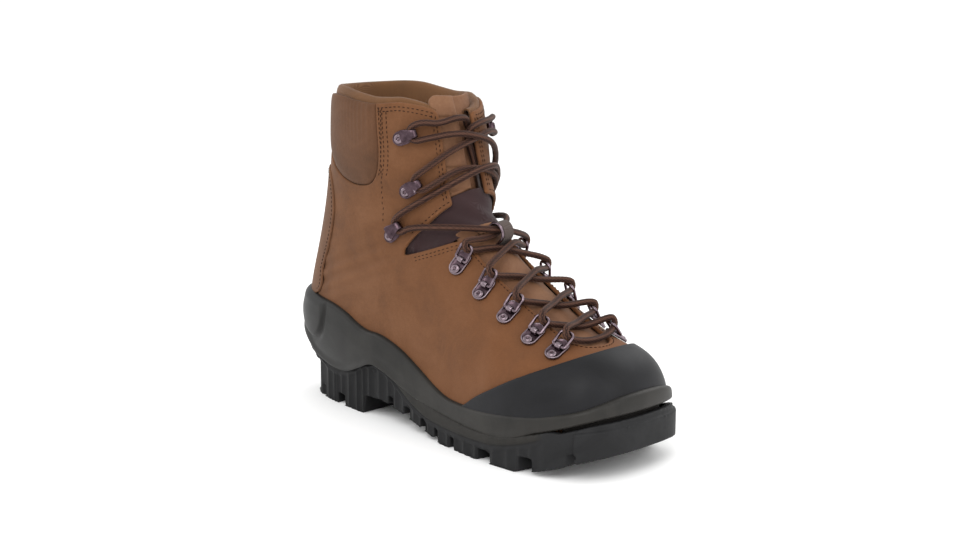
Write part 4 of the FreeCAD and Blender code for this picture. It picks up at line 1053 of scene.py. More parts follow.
# a rounded upper lip, a slight hollow and a fuller lower edge
lip = 1.0 + 2.3 * np.sqrt(np.clip(1 - (1 - np.clip(top / 2.6, 0, 1)) ** 2, 0, 1))
full = 4.0 + 0.5 * np.sin(np.clip(bot / wide, 0, 1) * math.pi)
w = np.clip(top / 13.0, 0, 1)
prof = lip * (1 - w) + full * w
# the lobe round the toe: thick and well rounded
lobe = np.clip((x - 112) / 16, 0, 1)
lobe = lobe * lobe * (3 - 2 * lobe)
rel = np.clip(bot / wide, 0, 1)
lp = 1.2 + 4.1 * np.sqrt(np.clip(1 - (2 * rel - 1) ** 4, 0, 1))
prof = prof * (1 - lobe) + lp * lobe
# the cup round the heel: a raised crescent with a step below it
cx, cz = x + 119.0, P[:, 2] - 79.0
rad = np.hypot(cx * 1.0, cz * 0.62)
cres = np.clip((rad - 19.6) / 1.4, 0, 1)
back = np.clip((-x - 96) / 8, 0, 1)
prof += 1.5 * (1 - cres) * back * np.clip(top / 4.0, 0, 1)
prof -= 0.9 * np.exp(-((rad - 21.6) / 1.5) ** 2) * back * np.clip(top / 5, 0, 1)
# at the toe the lower edge is turned in; elsewhere it runs into the sole
toe_ = np.clip((x - 92) / 14, 0, 1)
prof -= 2.4 * toe_ * (1 - np.sqrt(np.clip(1 - (1 - np.clip(bot / 2.0, 0, 1)) ** 2,
                                          0, 1)))
flush = np.clip(1 - bot / 5.0, 0, 1)
flush = flush * flush * (3 - 2 * flush) * (1 - toe_)
prof = prof * (1 - flush) + 5.45 * flush
V_, F_ = solid(bd, prof, 3.6, roll=0.0)
ob = as_object("midsole_band_rubber", V_, F_, M_BAND)
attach(ob, "foot")
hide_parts("midsole_band")


# ------------------------------------------------------------ padded collar
# One soft roll: up inside the leather, over the top and down the lining.
def front_limit(s, side):
    """Returns None: no index range is computed."""
    return None


def collar_roll():
    ncol = mesh_step(300)
    # columns run round the shaft from the outer front edge to the inner one
    cols = []
    top_rows = np.linspace(13.2, 18.9, 260)
    loops = [(half_loop(s, -1, 240), half_loop(s, 1, 240)) for s in top_rows]
    rings = []
    for a, b in loops:
        ring = np.concatenate([a[::-1][:-1], b])      # back -> front -> back
        # reorder: outer front edge -> back -> inner front edge
        rings.append(ring)
    R = np.array(rings)                                # rows, 479, 3
    mid = 239
    n_all = R.shape[1]
    # angle parameter: 0 at the front middle, going backwards each side
    out = R[:, :mid + 1][:, ::-1]                      # front -> back, outer
    inn = R[:, mid:]                                   # front -> back, inner
    full = np.concatenate([out, inn[:, ::-1][:, 1:]], 1)
    # full: front middle -> outer side -> back -> inner side -> front middle
    dP_s = np.gradient(full, axis=0)
    dP_t = np.gradient(full, axis=1)
    N = unit(np.cross(dP_s, dP_t))
    cen = full.mean(1, keepdims=True)
    if ((N * (full - cen)).sum(-1) > 0).mean() < 0.5:
        N = -N
    # where each column crosses the collar line
    zc = line_z(COLLAR_TOP, full[..., 0])
    above = full[..., 2] - zc
    m = full.shape[1]
    res = []
    for j in range(m):
        g = above[:, j]
        k = int(np.argmax(g > 0)) if (g > 0).any() else len(g) - 1
        t = g[k - 1] / (g[k - 1] - g[k]) if k > 0 else 0.0
        res.append(top_rows[k - 1] + t * (top_rows[k] - top_rows[k - 1]))
    return np.array(res), full, N, top_rows


ctop, cfull, cN, crow = collar_roll()
cm = cfull.shape[1]


def at_row(j, s):
    f = (s - crow[0]) / (crow[1] - crow[0])
    f = min(max(f, 0), len(crow) - 1.001)
    i = int(f)
    t = f - i
    return (cfull[i, j] * (1 - t) + cfull[i + 1, j] * t,
            unit(cN[i, j] * (1 - t) + cN[i + 1, j] * t))


# keep the columns behind the tongue's edges
keep = []
for j in range(cm):
    p, n = at_row(j, min(ctop[j], 18.8))
    if p[0] < -30 or p[1] < -20.9 or p[1] > 3.4:
        keep.append(j)
first = [j for j in keep if j < cm // 2]
last_ = [j for j in keep if j >= cm // 2]
cols = list(range(min(first), max(last_) + 1))
cols = cols[::mesh_step(1)]
drop = [(-2.4, 9.0), (-2.4, 6.0), (-2.45, 3.0), (-2.5, 1.2), (-2.7, 0.1),
        (-3.2, -1.2), (-4.1, -2.0), (-5.2, -2.3), (-6.4, -2.1), (-7.5, -1.4),
        (-8.4, -0.2), (-9.1, 1.4), (-9.6, 3.4)] + \
       [(-9.9 - 0.0 * k, 5.4 + 2.0 * k) for k in range(44)]
ring_ = np.array([at_row(j, ctop[j])[0] for j in cols])
arc_c = np.concatenate([[0], np.cumsum(np.linalg.norm(np.diff(ring_, axis=0), axis=1))])
rows = []
dist_row = 9.2       # mm of height for one station near the collar
for jj, j in enumerate(cols):
    s_top = ctop[j]
    line = []
    upright = 0.28 * math.sin(2 * math.pi * arc_c[jj] / 4.6)
    for (o, dz) in drop:
        p, n = at_row(j, s_top - dz / dist_row)
        ribs = 0.0
        if dz > 2.5:
            q = (dz - 2.5) / 6.4
            ribs = 0.85 * abs(math.sin(math.pi * q)) ** 0.6 * math.exp(-dz / 60)
            ribs += upright * min(1, (dz - 2.5) / 3)
        line.append(p + n * (o - ribs))
    rows.append(line)
R = np.array(rows)
nr, nc = R.shape[:2]
Vc = R.reshape(-1, 3)
Vc = Vc + 0.25 * wrinkle(Vc, 0.13, 41)[:, None] * np.array([0, 0, 1.0])
Fc = [(i * nc + k, i * nc + k + 1, (i + 1) * nc + k + 1, (i + 1) * nc + k)
      for i in range(nr - 1) for k in range(nc - 1)]
ob = as_object("padded_collar_lining", Vc, Fc, M_LIN)
mod = ob.modifiers.new("thickness", "SOLIDIFY")
mod.thickness = 0.0012
mod.offset = 0
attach(ob, "shaft")
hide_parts("lining_collar_padded")

# ---------------------------------------------------------- ankle and foot
FL = {"low": G.dist(line_z(TONGUE_LOW, X) - Z), "fe": fe, "throatw": G.dist(
    np.where(Z > 56, -poly_sd(throat_outline(26, 22, 121), X, Y), 30.0)),
    "ank": G.dist(Z - (100 + (X + 75) * 0.30)), "thx": G.dist(np.where(
        (X > -46) & (Z > 90), np.abs(Y) - 26, 30.0))}
lin_ = Patch(G, FL)
lin_.cut("fe", 3.0).pack()
lin_.f["nank"] = -lin_.f["ank"] + 26
lin_.cut("nank", 0.0).pack()
lin_.cut("throatw", 0.0).pack()
lin_.cut("thx", 0.0).pack()
lo = -5.2 - 3.9 * np.clip((lin_.f["ank"] + 6) / 26, 0, 1)
V_, F_ = solid(lin_, lo, 1.4, roll=0.0)
ob = as_object("foot_lining_cloth", V_, F_, M_LIN)
blend_ankle(ob)
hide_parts("lining_foot", "lining_flex_zone")

# -------------------------------------------------------------- lower tongue
TF = {"tl": G.dist(line_z(TONGUE_LOW, X) - Z),
      "tw": G.dist(np.where(Z > 50, poly_sd(throat_outline(24.5, 20.5, 119), X, Y),
                            -30.0)),
      "in": G.dist(np.where(Z > 50, poly_sd(throat_outline(17.6, 13.6, 112), X, Y),
                            -30.0))}
tg = Patch(G, TF)
tg.cut("tw", 0.0).pack()
tg.cut("tl", 0.0).pack()
for lv in (0.5, 1.3, 2.6):
    tg.cut("tl", lv, "both")
P = tg.P
crown = 0.9 * np.clip(tg.f["in"] / 9, -0.4, 1)
off = -2.9 + crown + 0.30 * wrinkle(P, 0.07, 51)
off += 0.35 * np.sin((P[:, 0] - 8) * 0.21 + wrinkle(P, 0.06, 52)) \
    * np.clip(tg.f["in"] / 6, 0, 1)
V_, F_ = solid(tg, off, 3.6, roll=1.5)
ob = as_object("tongue_lower_pad", V_, F_, M_TONGUE)
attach(ob, "foot")
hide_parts("tongue_lower")
for k, lv in enumerate((2.6, 5.2, 7.8)):
    m_t = np.where(Z > 50, poly_sd(throat_outline(16.5, 13, 110), X, Y), -30.0) > 0
    lines = isolines(G, TF["tl"], lv, m_t)
    st_ = stitches("tongue_stitches_%s" % "abc"[k], lines, M_THREAD2, off=-2.0,
                   lift=0.1)
    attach(st_, "foot")

# -------------------------------------------------------------- upper tongue
TU = {"tt": G.dist(line_z(TONGUE_TOP, X) - Z), "hs": G.dist(
    Z - (line_z(HIGH_SIDE, X) + np.where(X > 0, 5.5, 0))),
    "fr": G.dist(np.where(X > -40, X + 34, -30.0))}
TU["ya"] = G.dist(-5.4 - Y)
TU["yb"] = G.dist(Y + 24.5)
up = Patch(G, TU)
up.cut("fr", 0.0).pack()
up.cut("hs", 0.6).pack()
deep = up.copy()
k_ = 7.0                       # rounded top corner
a_, b_ = up.f["yb"], up.f["tt"]
up.f["yb"] = np.where((a_ < k_) & (b_ < k_),
                      k_ - np.hypot(k_ - a_, k_ - b_), np.minimum(a_, b_))
up.cut("yb", 0.0).pack()
for lv in (0.6, 1.5, 3.0):
    up.cut("yb", lv, "both")
up.cut("ya", 0.0).pack()
up.cut("tt", 0.0).pack()
for lv in (0.6, 1.5, 3.0):
    up.cut("tt", lv, "both")
    up.cut("ya", lv, "both")
P = up.P
pz = P[:, 2]
# soft panels: seams across at two heights, a gentle roll between them
seam1, seam2 = 172.0, 158.5
off = -3.5 + 1.3 * np.clip(up.f["ya"] / 6, 0, 1)
for sz in (seam1, seam2, 204.0):
    off -= 1.0 * np.exp(-((pz - sz) / 1.1) ** 2)
off += 0.3 * wrinkle(P, 0.1, 61)
V_, F_ = solid(up, off, 5.0, roll=2.4)
ob = as_object("tongue_upper_pad", V_, F_, M_TONGUE)
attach(ob, "shaft")
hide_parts("tongue_upper")
deep.f["yc"] = deep.P[:, 1] + 7.0
deep.f["yd"] = 23.0 - deep.P[:, 1]
deep.cut("yc", 0.0).pack()
deep.cut("yd", 0.0).pack()
deep.f["tt2"] = deep.f["tt"] + 0.5
deep.cut("tt2", 0.0).pack()
P = deep.P
V_, F_ = solid(deep, -8.2 + 0.3 * wrinkle(P, 0.1, 62), 2.2, roll=1.0)
ob = as_object("tongue_inner_fold", V_, F_, M_TONGUE)
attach(ob, "shaft")

# ------------------------------------------------------------------- gusset
GF = {"lo": G.dist(Z - (line_z(TONGUE_LOW, X) - 5.0)),
      "hi": G.dist(line_z(HIGH_SIDE, X) + 6.0 - Z),
      "bk": G.dist(np.where(X > -60, X + 40, -30.0))}
gs = Patch(G, GF)
for k in ("lo", "hi", "bk"):
    gs.cut(k, 0.0).pack()
P = gs.P
q = np.clip(gs.f["lo"] / np.maximum(gs.f["lo"] + gs.f["hi"], 1), 0, 1)
off = -3.3 - 1.6 * np.sin(math.pi * q) ** 2 + 0.5 * wrinkle(P, 0.12, 71) \
    + 0.5 * np.sin(P[:, 2] * 0.45 + P[:, 1] * 0.22 + wrinkle(P, 0.08, 72))
V_, F_ = solid(gs, off, 1.1, roll=0.0)
ob = as_object("gusset_cloth", V_, F_, M_GUS)
blend_ankle(ob)
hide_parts("tongue_gusset")


# ------------------------------------------------------------ metal hardware
def finish_node(name, mat, bevel=0.00025, seg=2, angle=35):
    ob = NODES[name]
    me = ob.data
    if not me.materials:
        me.materials.append(mat)
    for sl in ob.material_slots:
        sl.material = mat
    if bevel:
        b = ob.modifiers.new("soft_edges", "BEVEL")
        b.width = bevel
        b.segments = seg
        b.limit_method = "ANGLE"
        b.angle_limit = math.radians(angle)
        b.harden_normals = False
    return ob


RINGF_IN = {9.42: 26.3, 8.04: 26.6, 6.82: 27.4, 5.74: 27.8, 4.67: 26.6}
EYE = [(9.42, -27.3), (8.04, -28.0), (6.82, -29.2), (5.74, -29.4), (4.67, -27.6)]
EYE += [(s, RINGF_IN[s]) for s, y in EYE]
HOOK = [(15.77, -35.4), (13.28, -33.8), (12.2, -37.4), (15.77, 34.2),
        (13.28, 33.0), (12.2, 36.0)]


def to_world(c, R, local):
    return c + np.asarray(local, float) @ R


def lathe(profile, ring=28):
    """Turned shape about local Z from (radius, z) pairs."""
    V, F = [], []
    for r, z in profile:
        for k in range(ring):
            a = 2 * math.pi * k / ring
            V.append((r * math.cos(a), r * math.sin(a), z))
    n = len(profile)
    for i in range(n - 1):
        for k in range(ring):
            k2 = (k + 1) % ring
            F.append((i * ring + k, i * ring + k2, (i + 1) * ring + k2,
                      (i + 1) * ring + k))
    F.append(tuple(reversed(range(ring))))
    F.append(tuple((n - 1) * ring + k for k in range(ring)))
    return np.array(V), F


def merge(parts):
    V, F, base = [], [], 0
    for v, f in parts:
        V.append(np.asarray(v))
        F += [tuple(q + base for q in g) for g in f]
        base += len(v)
    return np.concatenate(V), F


def stadium(x0, x1, r, count=16):
    pts = []
    for k in range(count + 1):
        a = -math.pi / 2 + math.pi * k / count
        pts.append((x1 - r + r * math.cos(a), r * math.sin(a)))
    for k in range(count + 1):
        a = math.pi / 2 + math.pi * k / count
        pts.append((x0 + r + r * math.cos(a), r * math.sin(a)))
    return np.array(pts)


def dished_plate(x0, x1, half, z0, z1):
    """Oval plate with a rolled rim and a shallow dish inside it."""
    layers = [(0.0, z0), (0.0, z0 + 0.5), (0.0, z1 + 0.05), (0.15, z1 + 0.35),
              (0.5, z1 + 0.5), (0.9, z1 + 0.4), (1.25, z1 + 0.05), (1.6, z1 - 0.15),
              (half - 0.6, z1 - 0.15)]
    V, F = [], []
    n = None
    for inset, z in layers:
        ring = stadium(x0 + inset, x1 - inset, half - inset)
        n = len(ring)
        V += [(a, b, z) for a, b in ring]
    for i in range(len(layers) - 1):
        for k in range(n):
            k2 = (k + 1) % n
            F.append((i * n + k, i * n + k2, (i + 1) * n + k2, (i + 1) * n + k))
    F.append(tuple((len(layers) - 1) * n + k for k in range(n)))
    F.append(tuple(reversed(range(n))))
    return np.array(V), F


def rivet(x, z, r=3.1):
    prof = [(r * 0.55, z - 0.4), (r, z - 0.1), (r + 0.05, z + 0.25), (r - 0.15, z + 0.7),
            (r - 0.7, z + 1.12), (r - 1.3, z + 1.35), (r - 1.75, z + 1.38),
            (r - 2.0, z + 1.15), (r - 2.15, z + 0.8), (r - 2.5, z + 0.62), (0.05, z + 0.58)]
    v, f = lathe(prof)
    v[:, 0] += x
    return v, f


def saddle(x, z, r, width):
    """Knuckle: a rounded strap over the wire, open at both ends."""
    V, F = [], []
    angs = np.linspace(-35, 215, 19)
    sec = [(-1, 0.0), (-0.93, 0.28), (-0.72, 0.45), (0.72, 0.45), (0.93, 0.28),
           (1, 0.0)]
    outer, inner = [], []
    for a in angs:
        a = math.radians(a)
        for (u, lift) in sec:
            rr = r - 0.45 + lift
            V.append((x + rr * math.cos(a), u * width / 2, z + rr * math.sin(a)))
    for a in angs:
        a = math.radians(a)
        for (u, lift) in sec:
            rr = 1.16
            V.append((x + rr * math.cos(a), u * width / 2, z + rr * math.sin(a)))
    m = len(sec)
    n = len(angs)
    o = n * m
    for i in range(n - 1):
        for k in range(m - 1):
            F.append((i * m + k, i * m + k + 1, (i + 1) * m + k + 1, (i + 1) * m + k))
            F.append((o + i * m + k, o + (i + 1) * m + k, o + (i + 1) * m + k + 1,
                      o + i * m + k + 1))
        for k in (0, m - 1):
            q = (i * m + k, (i + 1) * m + k, o + (i + 1) * m + k, o + i * m + k)
            F.append(q if k == 0 else q[::-1])
    for i in (0, n - 1):
        for k in range(m - 1):
            q = (i * m + k, o + i * m + k, o + i * m + k + 1, i * m + k + 1)
            F.append(q if i == 0 else q[::-1])
    return np.array(V), F


PLATE_TOP = 1.6
HINGE_X, HINGE_Z = 1.5, 2.7
plates, heads = [], []
for s, y in EYE:
    c, R = seat(s, y)
    v, f = dished_plate(-9.0, 9.0, 5.25, 0.15, PLATE_TOP)
    plates.append((to_world(c, R, v), f))
    v, f = saddle(HINGE_X, HINGE_Z, 2.15, 4.0)
    plates.append((to_world(c, R, v), f))
    v, f = rivet(-5.2, PLATE_TOP)
    heads.append((to_world(c, R, v), f))
V_, F_ = merge(plates)
ob = as_object("dished_eyelet_plates", V_, F_, M_PLATE)
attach(ob, "foot")
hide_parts("eyelet_plates")
V_, F_ = merge(heads)
ob = as_object("eyelet_rivet_heads", V_, F_, M_RIVET)
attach(ob, "foot")
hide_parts("eyelet_rivets")
for name in list(NODES):
    if name.startswith("ring_"):
        finish_node(name, M_WIRE, 0)
        for p in NODES[name].data.polygons:
            pass


# ------------------------------------------------------------------- hooks
def hook_mesh():
    """Speed hook: a round-backed base, a bend at the throat end and a flap."""
    t = 1.0
    z0 = 0.6
    ro = (2 * t + 4.9) / 2
    cz = z0 + ro
    bx = 18.5 / 2 - ro - 0.2
    prof = []
    # centre line (x, z) with the outward side, from the back round to the lip
    line = [(-9.25, z0 + t / 2, 4.6)]
    for x in np.linspace(-8.9, bx, 12):
        line.append((x, z0 + t / 2, None))
    for a in np.linspace(-80, 80, 15):
        a = math.radians(a)
        line.append((bx + (ro - t / 2) * math.cos(a), cz + (ro - t / 2) * math.sin(a),
                     None))
    for x in np.linspace(bx, -1.4, 10):
        k = (bx - x) / (bx + 1.4)
        line.append((x, cz + ro - t / 2 + 0.5 * k + 0.5 * k * k, None))
    pts = np.array([(a, b) for a, b, _ in line])
    n = len(pts)
    T = unit(np.gradient(pts, axis=0))
    Nn = np.stack([T[:, 1], -T[:, 0]], 1)       # outward of the bend
    hh, nk = 4.8, 2.7
    V, F = [], []
    sec_n = 12
    for i, (x, z) in enumerate(pts):
        if x < -9.25 + hh:
            q = (x + 9.25) / hh
            half = hh * math.sqrt(max(0.0, 1 - (1 - q) ** 2)) if i < 12 else hh
            half = max(half, 0.9)
        else:
            half = hh
        k = np.clip((x - 0.5) / 6.0, 0, 1)
        half = half * (1 - k) + nk * k if x > 0.5 else half
        if i > n - 11 and x < 2.0:
            half = min(half, hh * (1 - 0.12 * ((2.0 - x) / 3.4) ** 2))
        sec = []
        for u, w in ((-1, 0), (-0.97, 0.6), (-0.85, 0.95), (0, 1.12), (0.85, 0.95),
                     (0.97, 0.6), (1, 0), (0.97, -0.6), (0.85, -0.95), (0, -0.95),
                     (-0.85, -0.95), (-0.97, -0.6)):
            sec.append((x + Nn[i, 0] * w * t / 2, u * half, z + Nn[i, 1] * w * t / 2))
        V += sec
    for i in range(n - 1):
        for k in range(sec_n):
            k2 = (k + 1) % sec_n
            F.append((i * sec_n + k, (i + 1) * sec_n + k, (i + 1) * sec_n + k2,
                      i * sec_n + k2))
    F.append(tuple(range(sec_n)))
    F.append(tuple((n - 1) * sec_n + k for k in reversed(range(sec_n))))
    return np.array(V), F


hooks, heads = [], []
hv, hf = hook_mesh()
for s, y in HOOK:
    c, R = seat(s, y)
    hooks.append((to_world(c, R, hv), hf))
    v, f = rivet(-4.8, 1.6, 3.25)
    heads.append((to_world(c, R, v), f))
V_, F_ = merge(hooks)
ob = as_object("speed_hooks", V_, F_, M_PLATE)
sb = ob.modifiers.new("smooth_bend", "SUBSURF")
sb.levels = sb.render_levels = 1
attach(ob, "shaft")
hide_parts("lace_hooks")
V_, F_ = merge(heads)
ob = as_object("hook_rivet_heads", V_, F_, M_RIVET)
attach(ob, "shaft")
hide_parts("hook_rivets")
for name, mat in (("eyelet_washers", M_RIVET), ("hook_washers", M_RIVET),
                  ("steel_shank", M_STEEL), ("insole_board", M_BOARD),
                  ("heel_counter", M_BOARD), ("toe_puff", M_BOARD),
                  ("footbed", M_BED), ("aglets", M_AGLET)):
    finish_node(name, mat, 0)
finish_node("keeper_loop", M_TAB, 0.0003)
finish_node("keeper_hoop", M_WIRE, 0)


# --------------------------------------------------------------------- lace
LACE = [
    (-2.1, 10.3, 171.9), (-4.6, 10.0, 183.8), (-6.1, 7.2, 193.1),
    (-6.4, 1.1, 198.8), (-1.8, -2.4, 203.0), (-1.2, -12.9, 203.7),
    (-5.5, -23.9, 199.9), (-10.7, -33.5, 201.6), (-17.9, -37.0, 198.2),
    (-18.8, -37.7, 192.7), (-14.9, -35.9, 188.9), (-7.9, -32.5, 191.1),
    (2.0, -14.4, 194.4), (8.0, -2.3, 192.2), (7.3, 10.8, 188.0),
    (-0.4, 22.8, 181.3), (-11.0, 33.7, 169.6), (-17.6, 36.0, 164.5),
    (-17.5, 35.8, 158.8), (-13.0, 33.7, 156.2), (-6.3, 31.1, 160.1),
    (4.2, 19.8, 170.4), (12.1, 7.4, 172.9), (13.0, -7.4, 170.8),
    (5.0, -22.7, 162.4), (-24.2, -39.7, 142.8), (-30.3, -40.9, 136.8),
    (-29.3, -40.8, 131.2), (-24.1, -39.7, 129.3), (-18.0, -38.5, 133.9),
    (7.2, -28.6, 135.7), (25.0, -13.7, 135.1), (30.0, -1.7, 133.6),
    (28.2, 13.5, 130.2), (21.8, 30.0, 124.9), (21.9, 30.2, 120.8),
    (22.3, 27.0, 118.2), (33.7, 6.4, 126.4), (37.6, -6.1, 123.0),
    (43.1, -27.1, 116.1), (43.8, -28.2, 112.2), (44.2, -25.6, 109.0),
    (50.2, -5.5, 107.1), (54.8, 5.5, 103.7), (64.4, 25.5, 102.7),
    (65.4, 26.8, 98.9), (65.9, 24.4, 95.6), (74.0, 5.9, 96.5),
    (78.5, -5.8, 93.8), (85.9, -24.2, 92.7), (86.7, -25.9, 89.0),
    (86.8, -24.0, 85.4), (90.8, -5.5, 81.7), (94.7, 5.5, 79.8),
    (102.5, 20.3, 85.7), (103.9, 22.8, 82.8), (104.5, 21.7, 78.8),
    (108.0, 9.1, 75.4), (108.6, -9.1, 75.3), (104.4, -21.7, 78.5),
    (103.9, -23.3, 82.3), (102.8, -21.1, 85.6), (96.6, -5.7, 84.0),
    (92.9, 5.8, 85.7), (86.7, 23.1, 85.3), (86.4, 25.2, 88.8),
    (85.5, 23.6, 92.5), (76.2, 5.5, 89.9), (71.7, -5.5, 92.7),
    (66.2, -24.9, 96.4), (66.0, -27.2, 99.9), (65.2, -25.7, 103.7),
    (57.4, -5.9, 107.5), (52.9, 6.1, 110.6), (43.5, 25.7, 106.4),
    (42.7, 28.6, 109.2), (42.0, 28.0, 113.2), (34.6, 5.6, 119.5),
    (30.6, -5.5, 123.4), (24.1, -27.8, 122.2), (24.1, -29.9, 125.7),
    (23.8, -28.3, 129.5), (25.9, -13.0, 128.9), (25.8, -2.6, 130.8),
    (22.0, 8.6, 134.5), (9.9, 24.4, 138.0), (-19.0, 37.3, 133.1),
    (-25.1, 38.5, 128.4), (-30.3, 39.5, 130.3), (-31.4, 39.6, 135.9),
    (-25.2, 38.5, 141.9), (2.1, 23.0, 161.0), (8.9, 8.9, 169.1),
    (8.4, -5.4, 172.0), (3.9, -17.4, 171.0), (-4.8, -31.3, 161.1),
    (-11.4, -34.2, 157.2), (-15.8, -36.4, 160.0), (-15.8, -36.6, 165.6),
    (-9.3, -34.0, 170.7), (-0.2, -20.6, 181.9), (3.4, -9.6, 187.1),
    (3.7, 4.3, 191.2), (0.0, 16.5, 193.6), (-9.2, 32.1, 190.8),
    (-16.3, 35.2, 188.5), (-20.3, 36.7, 192.2), (-19.5, 36.0, 197.7),
    (-12.2, 32.9, 201.2), (-3.4, 19.8, 200.2), (1.5, 8.2, 200.0),
    (0.8, -1.9, 196.5), (-3.5, -0.8, 189.5), (-2.2, 3.0, 180.4),
    (0.5, 3.6, 170.2),
]
lace_mm = np.array(LACE)
cu = bpy.data.curves.new("lace_line", "CURVE")
cu.dimensions = "3D"
cu.resolution_u = mesh_step(24)
sp = cu.splines.new("NURBS")
sp.points.add(len(LACE) - 1)
for p, q in zip(sp.points, (lace_mm + SHIFT) / 1000):
    p.co = (q[0], q[1], q[2], 1.0)
sp.order_u = 3
sp.use_endpoint_u = True
tmp = bpy.data.objects.new("lace_line", cu)
bpy.context.scene.collection.objects.link(tmp)
bpy.context.view_layer.update()
dg = bpy.context.evaluated_depsgraph_get()
me = bpy.data.meshes.new_from_object(tmp.evaluated_get(dg))
line = np.array([v.co for v in me.vertices]) * 1000.0
bpy.data.objects.remove(tmp)
d = np.concatenate([[0], np.cumsum(np.linalg.norm(np.diff(line, axis=0), axis=1))])
# the strands follow the spline's own points
path, q = line, d
RINGN = mesh_step(24)
V_, F_ = tube(path, 2.0, RINGN)
n = len(path)
arc = q[:, None]
th = np.linspace(0, 2 * math.pi, RINGN, endpoint=False)[None, :]
pitch = 10.5
k1 = np.sin(4 * th + 2 * math.pi * arc / pitch * 2)
k2 = np.sin(4 * th - 2 * math.pi * arc / pitch * 2)
over = np.sin(2 * math.pi * arc / pitch * 4) * np.cos(8 * th * 0.5)
braid = 0.5 + 0.5 * np.where(over > 0, np.abs(k1) * 2 - 1, np.abs(k2) * 2 - 1)
rad = 1.84 + 0.26 * braid + 0.03 * np.sin(arc * 0.7)
cen = np.repeat(path, RINGN, 0)
dirv = unit(V_ - cen)
V_ = cen + dirv * rad.reshape(-1, 1)
lace = as_object("braided_lace", V_ / 1000.0, F_, M_LACE, design=False)
# the braid values also darken the lace's colour in its grooves: painted shade
at_ = lace.data.attributes.new("braid", "FLOAT", "POINT")
at_.data.foreach_set("value", braid.reshape(-1).astype(np.float32))
blend_ankle(lace)
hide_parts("lace")
first = line[0] / 1000


# ------------------------------------------------------------------ outsole
src = NODES["outsole"]
me = bpy.data.meshes.new("lugged_outsole")
bm = bmesh.new()
bm.from_mesh(src.data)
bmesh.ops.remove_doubles(bm, verts=bm.verts, dist=1e-6)
bm.to_mesh(me)
bm.free()
sole = bpy.data.objects.new("lugged_outsole", me)
bpy.context.scene.collection.objects.link(sole)
sole.matrix_world = src.matrix_world.copy()
md = sole.modifiers.new("mould", "REMESH")
md.mode = "VOXEL"
md.voxel_size = 0.0009
md.use_smooth_shade = True
bpy.context.view_layer.update()
dg = bpy.context.evaluated_depsgraph_get()
new = bpy.data.meshes.new_from_object(sole.evaluated_get(dg))
sole.modifiers.clear()
sole.data = new
sm = sole.modifiers.new("soft_edges", "SMOOTH")
sm.factor = 0.5
sm.iterations = 3
bpy.context.view_layer.update()
dg = bpy.context.evaluated_depsgraph_get()
new = bpy.data.meshes.new_from_object(sole.evaluated_get(dg))
sole.modifiers.clear()
sole.data = new
new.polygons.foreach_set("use_smooth", [True] * len(new.polygons))
# upright ridges and grooves on the walls of the lugs, and a bevelled foot
nv = len(new.vertices)
co = np.empty(nv * 3)
new.vertices.foreach_get("co", co)
co = co.reshape(-1, 3) * 1000
nn_ = np.empty(nv * 3)
new.vertices.foreach_get("normal", nn_)
nn_ = nn_.reshape(-1, 3)
x_, y_, z_ = co[:, 0] - SHIFT[0], co[:, 1] - SHIFT[1], co[:, 2]
flat = np.abs(nn_[:, 2]) < 0.55
wall = flat & (np.abs(nn_[:, 1]) + np.clip(-nn_[:, 0], 0, 1) > 0.45)
edge_half = np.interp(x_, [-145, -120, -60, 0, 60, 110, 150],
                      [10, 26, 27, 28, 40, 38, 10])
wall &= (np.abs(y_) > edge_half) | (x_ < -118)
# lower edge of the band on the wall: below it the lugs are fluted
BAND_LOW = [(-155, 50), (-140, 42), (-132, 34), (-124, 28.5), (-116, 25),
            (-108, 23.6), (-100, 23), (-92, 23.6), (-84, 25.8), (-76, 28.8),
            (-68, 33), (-60, 35.5), (-52, 37), (-44, 34.8), (-36, 32),
            (-28, 27.5), (-20, 22.8), (-12, 18.8), (-4, 15.6), (4, 13.4),
            (12, 12.2), (20, 11.6), (36, 11.2), (52, 11.3), (68, 11.9),
            (76, 12.8), (84, 14.2), (92, 16.2), (100, 18.6), (108, 21.6),
            (116, 25.2), (124, 29), (132, 32.2), (140, 33), (155, 33)]
low_ = line_z(BAND_LOW, x_)
side_ = np.sign(y_)
arc_ = x_ * 1.0 - np.where(x_ < -100, np.abs(y_) * 0.9, 0)
pitch_ = np.where(x_ < -60, 8.3, 9.6)
ph = ((arc_ + 1.3 * np.sin(arc_ * 0.19)) / pitch_) % 1.0
flute = np.sin(np.pi * ph) ** 0.9
front_ = np.clip((x_ - 108) / 6, 0, 1)
under = np.clip((low_ - 1.4 - z_) / 2.5, 0, 1) * (1 - front_)
depth = 1.35 * flute * under
line_cut = np.exp(-((z_ - low_) / 0.9) ** 2) * (1 - front_)
depth += 1.1 * line_cut
depth -= 0.35 * np.clip((z_ - low_ - 0.8) / 1.5, 0, 1) * (1 - front_)
depth += 0.7 * np.clip((1.6 - z_) / 1.6, 0, 1) ** 2
co2 = co - nn_ * [1, 1, 0] * (depth * wall)[:, None]
# the front block stands a little below the lobe of the band
sink = np.clip((x_ - 112) / 10, 0, 1) * np.clip((z_ - 26) / 6, 0, 1)
co2[:, 2] -= 2.4 * sink * sink * (3 - 2 * sink)
new.vertices.foreach_set("co", (co2 / 1000).reshape(-1))
new.update()
tone = new.attributes.new("band", "FLOAT", "POINT")
tone.data.foreach_set("value", (np.clip((z_ - low_ + 0.3) / 1.2, 0, 1)
                                * (1 - front_)).astype(np.float32))
new.materials.clear()
new.materials.append(M_SOLE)
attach(sole, "foot")
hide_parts("outsole")
for name in ("midsole_band",):
    finish_node(name, M_BAND, 0)

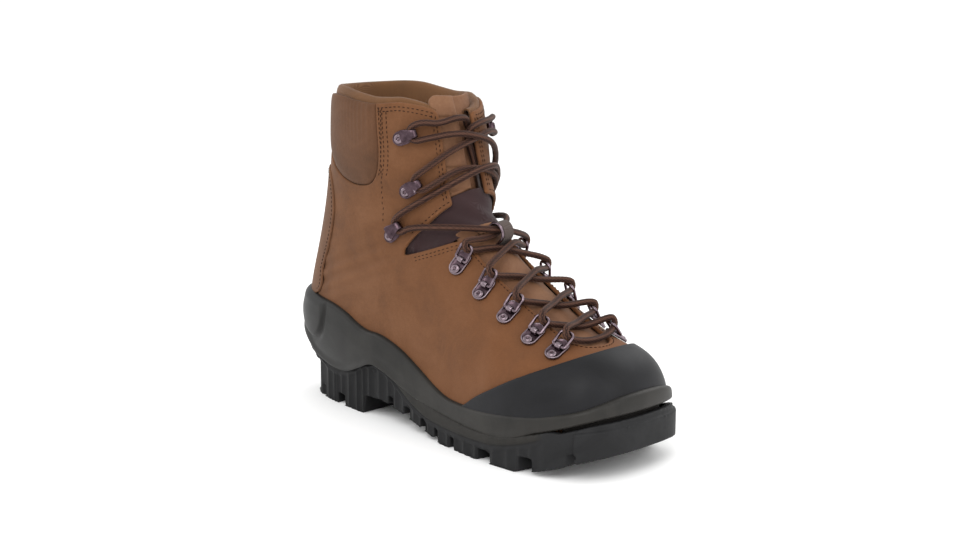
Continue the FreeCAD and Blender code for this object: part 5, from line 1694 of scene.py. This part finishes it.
# --------------------------------------------------- camera, floor and light
sc = bpy.context.scene
AZ, EL, DIST = math.radians(45.38), math.radians(11.15), 0.99918
target = Vector((0.0017, 0.00266, 0.100))
back = Vector((math.sin(AZ) * math.cos(EL), -math.cos(AZ) * math.cos(EL), math.sin(EL)))
cam_data = bpy.data.cameras.new("camera")
cam = bpy.data.objects.new("camera", cam_data)
sc.collection.objects.link(cam)
cam.location = target + back * DIST
cam.rotation_euler = back.to_track_quat("Z", "Y").to_euler()
cam_data.sensor_width = 36.0
cam_data.lens = 1524.21 / 978 * 36.0
cam_data.shift_x = (489 - 471.25) / 978
cam_data.shift_y = -(275 - 274.75) / 978
cam_data.clip_start = 0.01
cam_data.clip_end = 50
sc.camera = cam

fm = Mat("pale_floor")
fm.color(fm.ramp(fm.noise(3, 3), [(0.3, lin("#fbfbfa")), (0.7, lin("#fefefe"))]))
fm.set(Roughness=0.75, Specular_IOR_Level=0.2)
bpy.ops.mesh.primitive_plane_add(size=14, location=(0, 0, 0))
floor = bpy.context.active_object
floor.name = "floor"
floor.data.materials.append(fm.mat)
floor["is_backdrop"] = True

world = bpy.data.worlds.new("studio")
sc.world = world
world.use_nodes = True
bg = world.node_tree.nodes["Background"]
bg.inputs[0].default_value = (1.0, 1.0, 1.0, 1)
bg.inputs[1].default_value = 1.08


def area(name, loc, size, power, color=(1, 1, 1), aim=(0, 0, 0.1)):
    ld = bpy.data.lights.new(name, "AREA")
    ld.shape = "RECTANGLE"
    ld.size, ld.size_y = size
    ld.energy = power
    ld.color = color
    ob = bpy.data.objects.new(name, ld)
    sc.collection.objects.link(ob)
    ob.location = loc
    ob.rotation_euler = (Vector(loc) - Vector(aim)).to_track_quat("Z", "Y").to_euler()
    return ob


area("key", (0.9, -1.3, 1.5), (1.2, 1.2), 17)
area("fill", (-1.3, -1.0, 0.9), (1.4, 1.2), 6)
area("rim", (0.3, 1.5, 1.3), (1.4, 1.0), 9)
area("front", (1.7, 0.2, 0.8), (1.0, 1.0), 6)
sc.view_settings.view_transform = "Standard"
sc.view_settings.look = "None"

lo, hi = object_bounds()
